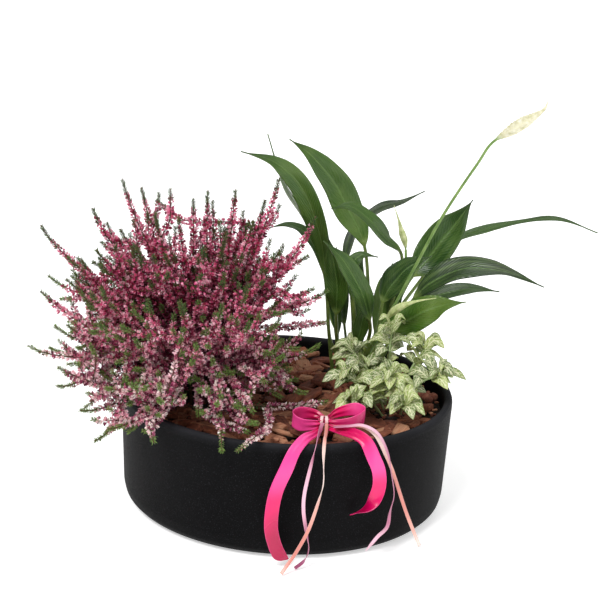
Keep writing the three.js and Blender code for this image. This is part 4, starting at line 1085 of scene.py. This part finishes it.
# the spheres that added shoots keep out of: how many on a lily stem and a ribbon, and their radii
LILY_SPHERES, RIBBON_SPHERES = 30, 20
LEAF_ROOM, BLOOM_ROOM, RIBBON_ROOM, BOW_ROOM, SPRIG_ROOM, SPRIG_FOOT_ROOM = 5, 4, 11.0, 17.0, 24.0, 20.0
SPRIG_FOOT = vec(92, -28, 95)
# how far a shoot may be pushed by the bowl, and the reach of those that no spike of the dome is near
PUSH_MOST, NEAR_SPIKE, LONE_REACH = 1.5, 0.9, 75


def stem_chain(start, leave, tip):
    tip = vec(*tip)
    reach = tip - start
    length = np.linalg.norm(reach)
    arrive = unit(reach / length + 0.35 * UP)
    pull, push = start + 0.36 * length * leave, tip - 0.3 * length * arrive
    t = np.linspace(0, 1, CHAIN)[:, None]
    return (1 - t) ** 3 * start + 3 * (1 - t) ** 2 * t * pull + 3 * (1 - t) * t**2 * push + t**3 * tip


def make_chains():
    """Each stem as its spray, its points and the number of the stem that it branches from."""
    wishes = []
    for tips in HEATHER_TIPS:
        reach = vec(*tips[0]) - HEATHER_CROWN
        lean = atan2(hypot(reach[0], reach[1]), reach[2]) / (0.6 * pi)
        wishes.append(HEATHER_CROWN + unit(reach * (1, 1, 0)) * HEATHER_ROOT_REACH * min(1, lean))
    chains = []
    for spray, (tips, root) in enumerate(zip(HEATHER_TIPS, take_roots("heather", wishes))):
        main = stem_chain(root, UP, tips[0])
        parent = len(chains)
        chains.append([spray, main, None])
        leave = unit(main[BRANCH_AT + 1] - main[BRANCH_AT - 1])
        chains += [[spray, stem_chain(main[BRANCH_AT], leave, tip), parent] for tip in tips[1:]]
    return chains


def keep_out(points, radius, live=True):
    """Live points stay above the bark and the rim, and outside the wall beyond it."""
    points = points.copy()
    away = np.hypot(points[:, 0], points[:, 1])
    room = np.broadcast_to(radius + 4, away.shape)
    beyond, above = away - POT_RADIUS, points[:, 2] - POT_HEIGHT
    inner = live & (away < POT_RADIUS - POT_WALL - 8)
    points[inner, 2] = np.maximum(points[inner, 2], BARK_TOP + 7 + room[inner])
    rim = live & ~inner & (beyond < 0)
    points[rim, 2] = np.maximum(points[rim, 2], POT_HEIGHT + room[rim])
    out = live & ~inner & ~rim
    gap = np.hypot(beyond, above)
    edge = out & (above > 0) & (gap < room)
    points[edge, 2] = POT_HEIGHT + room[edge] * above[edge] / gap[edge]
    points[edge, :2] *= ((POT_RADIUS + room[edge] * beyond[edge] / gap[edge]) / away[edge])[:, None]
    wall = out & (above <= 0) & (beyond < room)
    points[wall, :2] *= ((POT_RADIUS + room[wall]) / away[wall])[:, None]
    return points


def bend_clear(chains):
    """Pushes the stems of different sprays apart and out of the bowl, as the CAD does."""
    sprays, points, parents = (list(column) for column in zip(*chains))
    points, n = np.stack(points), len(chains)
    branch = np.array([parent is not None for parent in parents])[:, None]
    place = np.arange(CHAIN)
    share = place / (CHAIN - 1)
    flower = FLOWER_RADIUS * (0.42 + 0.58 * np.minimum(1, (1 - share) / 0.32))
    radius = np.where(share < np.where(branch, BRANCH_BARE, MAIN_BARE), STEM_RADIUS, flower)[:, 1:].ravel()
    free = np.where(branch, 1.0, np.clip((place - 1) / 3, 0, 1))[..., None]
    live = (branch | (place >= 3))[:, 1:].ravel()
    spray = np.repeat(sprays, CHAIN - 1)
    need = radius[:, None] + radius + ROOM
    for _ in range(ROUNDS):
        flat = points[:, 1:].reshape(-1, 3)
        apart = flat[:, None] - flat
        distance = np.linalg.norm(apart, axis=-1)
        close = (spray[:, None] != spray) & (distance < need)
        push = np.where(close, (need - distance) / (2 * distance + 1e-6), 0)
        shift = np.zeros((n, CHAIN, 3))
        shift[:, 1:] = (push[..., None] * apart).sum(1).reshape(n, CHAIN - 1, 3)
        smooth = sum(weight * shift[:, np.clip(place + near, 0, CHAIN - 1)]
                     for near, weight in zip(range(-2, 3), (0.5, 0.8, 1, 0.8, 0.5)))
        moved = points + 0.45 * free * smooth
        points[:, 1:] = keep_out(moved[:, 1:].reshape(-1, 3), radius, live).reshape(n, CHAIN - 1, 3)
        for k, parent in enumerate(parents):
            if parent is not None:
                points[k] += (points[parent, BRANCH_AT] - points[k, 0]) * (1 - share)[:, None]
    return list(zip(sprays, points, parents))


def floret_mesh():
    """A tiny bell of four pointed petals. It opens along +z and is 1 long."""
    points, quads, tips = [], [], []
    for turn in circle(4):
        out, side = vec(cos(turn), sin(turn), 0), vec(-sin(turn), cos(turn), 0)
        base = len(points)
        for z, r, half in ((0.0, 0.06, 0.05), (0.42, 0.34, 0.27), (0.78, 0.36, 0.2)):
            points += [UP * z + out * r - side * half, UP * z + out * (r + 0.05) + side * half]
        points.append(UP + out * 0.5)
        quads += [(base + k, base + k + 1, base + k + 3, base + k + 2) for k in (0, 2)]
        tips.append((base + 4, base + 5, base + 6))
    return np.array(points), (quads, tips), np.array(points)[:, 2]


def needle_mesh():
    """A three-sided leaf scale, 1 long."""
    points = vec((0.12, 0, 0.02), (-0.07, 0.11, 0), (-0.07, -0.11, 0), (0.12, 0, 0.5), (-0.05, 0.12, 0.5),
                 (-0.05, -0.12, 0.5), (0.06, 0, 1.0))
    sides, tips = [(0, 1, 4, 3), (1, 2, 5, 4), (2, 0, 3, 5)], [(3, 4, 6), (4, 5, 6), (5, 3, 6)]
    return points, (sides, tips), points[:, 2]


FLORET, NEEDLE = floret_mesh(), needle_mesh()


def sprouts(curve, low, high, spacing, draw):
    """Places along a stem, each with the stem's direction there and a way out from it."""
    count = max(1, int((high - low) * curve.length() / spacing))
    share = low + (high - low) * (np.arange(count) + draw.uniform(0, 1, count)) / count
    centre, side, face, along = curve.frames(share, TWIG_HINT)
    turn = (np.arange(count) * GOLDEN + draw.uniform(-0.5, 0.5, count))[:, None]
    return share, centre, along, side * np.cos(turn) + face * np.sin(turn)


def axes_for(direction, size, draw, slim=1.0):
    """Three scaled axes, the third along the direction, turned at random about it."""
    direction = unit(direction)
    side = unit(np.cross(direction, np.where(np.abs(direction[:, 2:]) > 0.9, vec(1, 0, 0), UP)))
    face = np.cross(direction, side)
    turn = draw.uniform(0, 2 * pi, len(direction))[:, None]
    first = side * np.cos(turn) + face * np.sin(turn)
    size = size[:, None]
    return np.stack([first * size * slim, np.cross(direction, first) * size * slim, direction * size], 1)


def paleness(points):
    """How washed out the flowers are: low and at the front they have faded."""
    height = np.clip((points[:, 2] - 120) / 90, 0, 1)
    front = np.clip((-points[:, 1] - 20) / 130, 0, 1)
    return np.clip(1.05 - 1.25 * height + 0.35 * front * (1 - height), 0, 1)


def dress_stem(shape, curve, bare, green, radius, draw, leafy, faded):
    """Leaf scales below, then close rings of florets, and a thick green growing tip."""
    green_from = max(bare + 0.15, 1 - green / curve.length())

    def scales(low, high, spacing, off, lean, splay, sizes, tones, lit=0):
        """Rows of leaf scales. Those of the growing tip close up towards its end and are lit."""
        share, centre, along, out = sprouts(curve, low, high, spacing, draw)
        size, tone = draw.uniform(*sizes, len(share)), draw.uniform(*tones, len(share))
        splay = splay - 0.75 * np.clip((share - green_from) / (1 - green_from), 0, 1)[:, None]
        tone = tone + lit * (0.75 - 0.45 * np.clip((centre[:, 2] - 150) / 80, 0, 1))
        axes = axes_for(along * lean + out * splay, size, draw, 0.8)
        shape.copies(NEEDLE, NEEDLES, centre + out * off, axes, tone=tone.clip(0, 1))

    scales(leafy, bare, 1.1, 0.8, 0.7, 0.75, (3.0, 5.2), (0, 0.35))
    share, centre, along, out = sprouts(curve, bare - 0.02, green_from + 0.02, 0.86, draw)
    count = len(share)
    taper = 1 - 0.4 * np.clip((share - green_from + 0.12) / 0.12, 0, 1)
    size = draw.uniform(0.8, 1.15, count) * radius * 0.72 * taper
    lift = along * draw.uniform(0.3, 0.75, count)[:, None] + out
    root = centre + out * (draw.uniform(0.08, 0.4, count) * radius * taper)[:, None]
    pale = (paleness(centre) * draw.uniform(0.3, 1.3, count) + faded).clip(0, 1)
    axes = axes_for(lift, size, draw)
    # painted shade: the flowers deep in the bush are darker
    shade_depth = np.linalg.norm(root - BUSH_HEART, axis=1)
    tone = draw.uniform(0, 1, count) * np.clip((shade_depth - 30) / 55, 0.2, 1)
    shape.copies(FLORET, FLORETS, root, axes, tone=tone, kind=pale)
    scales(bare, green_from, 2.4, 1.2, 0.6, 0.8, (3.2, 5.0), (0.0, 0.6))
    scales(green_from - 0.03, 0.99, 0.3, 0.6, 0.9, 1.35, (2.6, 3.7), (-0.25, 0.25), lit=1)


def add_twig(shape, curve, draw, thick, thin, sides, rows):
    share = np.linspace(0, 1, rows)
    centre, side, face, _ = curve.frames(share, TWIG_HINT)
    radii = (thick + (thin - thick) * share)[:, None] * draw.uniform(0.9, 1.1, (rows, sides))
    tube(shape, centre, side, face, radii, sides)


def add_spike(shape, curve, draw, twig, bare, green, size, leafy, faded=0.0):
    """A twig in flower. Its bare share and its green length are numbers or ranges to draw from."""
    add_twig(shape, curve, draw, *twig)
    bare, green = (draw.uniform(*v) if isinstance(v, tuple) else v for v in (bare, green))
    dress_stem(shape, curve, bare, green, FLOWER_RADIUS * size, draw, leafy, faded)


def clear_of(shoot, obstacles):
    """Whether a shoot stays inside the bush and out of the other plants, the ribbons and the bowl."""
    points = shoot.at(np.linspace(0.25, 1, 9))
    gap = np.linalg.norm(points[:, None] - obstacles[:, :3], axis=-1) - obstacles[:, 3]
    pushed = np.linalg.norm(keep_out(points, FLOWER_RADIUS * 0.7) - points, axis=1)
    return gap.min() > 0 and pushed.max() < PUSH_MOST and np.all((points > BUSH_LOW) & (points < BUSH_HIGH))


def side_shoots(curve, bare, obstacles, draw):
    """Short shoots that leave a stem, bend skyward and flower."""
    shoots, low = [], bare - 0.15
    for k in range(SIDE_SHOOTS):
        s = low + (SIDE_END - low) * (k + draw.uniform(0.1, 0.9)) / SIDE_SHOOTS
        centre, side, face, direction = curve.frames(s, TWIG_HINT)
        turn = k * GOLDEN + draw.uniform(-0.7, 0.7)
        away = side * cos(turn) + face * sin(turn)
        reach = draw.uniform(*SIDE_REACHES) * (1.15 - 0.5 * s)
        middle = centre + direction * 0.5 * reach + away * 0.38 * reach
        tip = centre + direction * 0.95 * reach + away * 0.56 * reach + UP * 0.24 * reach
        shoot = Curve([centre, middle, tip])
        if clear_of(shoot, obstacles):
            shoots.append(shoot)
    return shoots


def fill_shoots(curve, obstacles, draw):
    """A few longer shoots that part from a stem low down and fill the bush between the spikes."""
    shoots = []
    target = curve.at(1.0) - BUSH_MIDDLE
    for _ in range(FILL_TRIES):
        centre, _, _, direction = curve.frames(draw.uniform(0.22, 0.5), TWIG_HINT)
        way = unit(unit(target) + draw.normal(0, 0.3, 3))
        tip = BUSH_MIDDLE + way * np.linalg.norm(target) * draw.uniform(0.55, 0.93)
        reach = tip - centre
        length = np.linalg.norm(reach)
        if not FILL_LENGTHS[0] <= length <= FILL_LENGTHS[1]:
            continue
        first = centre + direction * 0.3 * length + reach * 0.08
        shoot = Curve([centre, first, centre + 0.66 * reach + UP * 0.02 * length, tip + UP * 0.03 * length])
        if clear_of(shoot, obstacles):
            shoots.append(shoot)
        if len(shoots) == FILL_SHOOTS:
            break
    return shoots


def crown_shoots(obstacles):
    """For each spray, leafy shoots from the crown that fill the dome's front and sides."""
    draw = np.random.default_rng(61)
    owners = [spray for spray, tips in enumerate(HEATHER_TIPS) for _ in tips]
    tips = np.array([tip for tips in HEATHER_TIPS for tip in tips], float) - HEATHER_CROWN
    ways = unit(tips)
    shoots = [[] for _ in HEATHER_TIPS]
    for order in range(CROWN_SHOOTS):
        height = 0.1 + 0.88 * (order + 0.5) / CROWN_SHOOTS
        angle, level = order * GOLDEN, sqrt(1 - height**2)
        way = unit(vec(cos(angle) * level, sin(angle) * level, height))
        nearest = np.argsort(-(ways @ way))[:3]
        reach = np.linalg.norm(tips[nearest], axis=1).mean() * draw.uniform(0.5, 0.9)
        if ways[nearest[0]] @ way < NEAR_SPIKE:
            reach = min(reach, LONE_REACH)
        foot = HEATHER_CROWN + way * (1, 1, 0) * draw.uniform(6, 24)
        tip = HEATHER_CROWN + way * reach + UP * 6
        shoot = Curve([foot, foot + UP * 0.36 * reach + way * 0.12 * reach,
                       foot + 0.62 * (tip - foot) + UP * 0.16 * reach, tip])
        if clear_of(shoot, obstacles):
            shoots[owners[nearest[0]]].append(shoot)
    return shoots


def heather_obstacles():
    """Spheres, as centre and radius, that the added shoots keep out of."""
    rows = []

    def along(points, radii, count):
        rows.append(np.column_stack([Curve(points).steps(count), np.broadcast_to(radii, count)]))

    share = np.linspace(0, 1, LILY_SPHERES)
    for (path, half, _), root in zip(LILY_LEAVES.values(), LILY_ROOTS):
        along([root, *path], np.maximum(3, half * blade_width(share)) + LEAF_ROOM, LILY_SPHERES)
    for (path, club, *_), root in zip(LILY_BLOOMS.values(), LILY_ROOTS[len(LILY_LEAVES):]):
        along([root, *path], club + BLOOM_ROOM, LILY_SPHERES)
    for top, _ in FITTONIA_STEMS:
        middle = 0.5 * vec(*top) + 0.5 * SPRIG_FOOT
        rows.append([[*top, SPRIG_ROOM], [*middle, SPRIG_FOOT_ROOM]])
    for route, *_ in (*STRANDS.values(), *TAILS.values()):
        along(route, RIBBON_ROOM, RIBBON_SPHERES)
    rows.append([[*(BOW_KNOT + vec(shift, 0, 3)), BOW_ROOM] for shift in (-22, -10, 0, 12, 26)])
    return np.vstack(rows)


def make_heather():
    chains = bend_clear(make_chains())
    obstacles = heather_obstacles()
    extra = crown_shoots(obstacles)
    looks = [wood_look(), floret_look(), needle_look()]
    for spray in range(len(HEATHER_TIPS)):
        draw = np.random.default_rng(100 + spray)
        shape = Shape()
        for _, points, parent in (chain for chain in chains if chain[0] == spray):
            curve = Curve(points)
            bare, leafy = (MAIN_BARE, 0.15) if parent is None else (BRANCH_BARE, 0.1)
            if parent is None:
                add_twig(shape, Curve([points[0] - ROOT_DEPTH * UP, points[0]]), draw, *ROOT_TWIG)
            add_spike(shape, curve, draw, MAIN_TWIG, bare, MAIN_GREEN, 1, leafy)
            for shoot in side_shoots(curve, bare, obstacles, draw):
                add_spike(shape, shoot, draw, *SIDE_SPIKE)
            for shoot in fill_shoots(curve, obstacles, draw):
                add_spike(shape, shoot, draw, *FILL_SPIKE)
        for trail in TRAILING.get(spray, ()):
            add_spike(shape, Curve(trail), draw, *TRAIL_SPIKE, TRAIL_FADED)
        for shoot in extra[spray]:
            add_spike(shape, shoot, draw, *CROWN_SPIKE)
        name = f"{spray + 1:02d}"
        shape.make(f"heather_{name}", looks, f"heather_spray_{name}")


make_heather()

# ---- stage and lights ----

FLOOR_REACH, FLOOR_GLOW, WORLD_LIGHT = 9.0, 0.5, 0.34
# each sun's name, azimuth (0 is the front, 90 the right side), height, strength and spread, in degrees
SUNS = (("key", -35, 52, 2.1, 22), ("fill", 60, 35, 0.45, 50), ("back", 170, 60, 0.7, 50))


def soft_sun(name, azimuth, elevation, strength, width):
    data = bpy.data.lights.new(name, "SUN")
    data.energy, data.angle = strength, radians(width)
    a, e = radians(azimuth), radians(elevation)
    to_light = Vector((sin(a) * cos(e), -cos(a) * cos(e), sin(e)))
    aim(add_object(name, data), to_light * 2, -to_light)


def make_stage():
    floor = bpy.data.meshes.new("floor")
    corners = [(x * FLOOR_REACH, y * FLOOR_REACH, 0) for x, y in ((-1, -1), (1, -1), (1, 1), (-1, 1))]
    floor.from_pydata(corners, [], [(0, 1, 2, 3)])
    look = Look("floor_pale", Roughness=0.9, Specular_IOR_Level=0.1, Emission_Color=(1, 1, 1, 1),
                Emission_Strength=FLOOR_GLOW)
    pale = look.ramp(look.noise(3), (0.3, (246, 246, 246)), (0.7, (249, 249, 249)))
    floor.materials.append(look.finished(pale))
    add_object("floor", floor)
    world = bpy.data.worlds.new("studio")
    bpy.context.scene.world = world
    world.use_nodes = True
    background = world.node_tree.nodes["Background"]
    background.inputs[0].default_value = (1, 1, 1, 1)
    background.inputs[1].default_value = WORLD_LIGHT
    for sun in SUNS:
        soft_sun(*sun)


make_stage()
bpy.context.scene.view_settings.view_transform = "Standard"
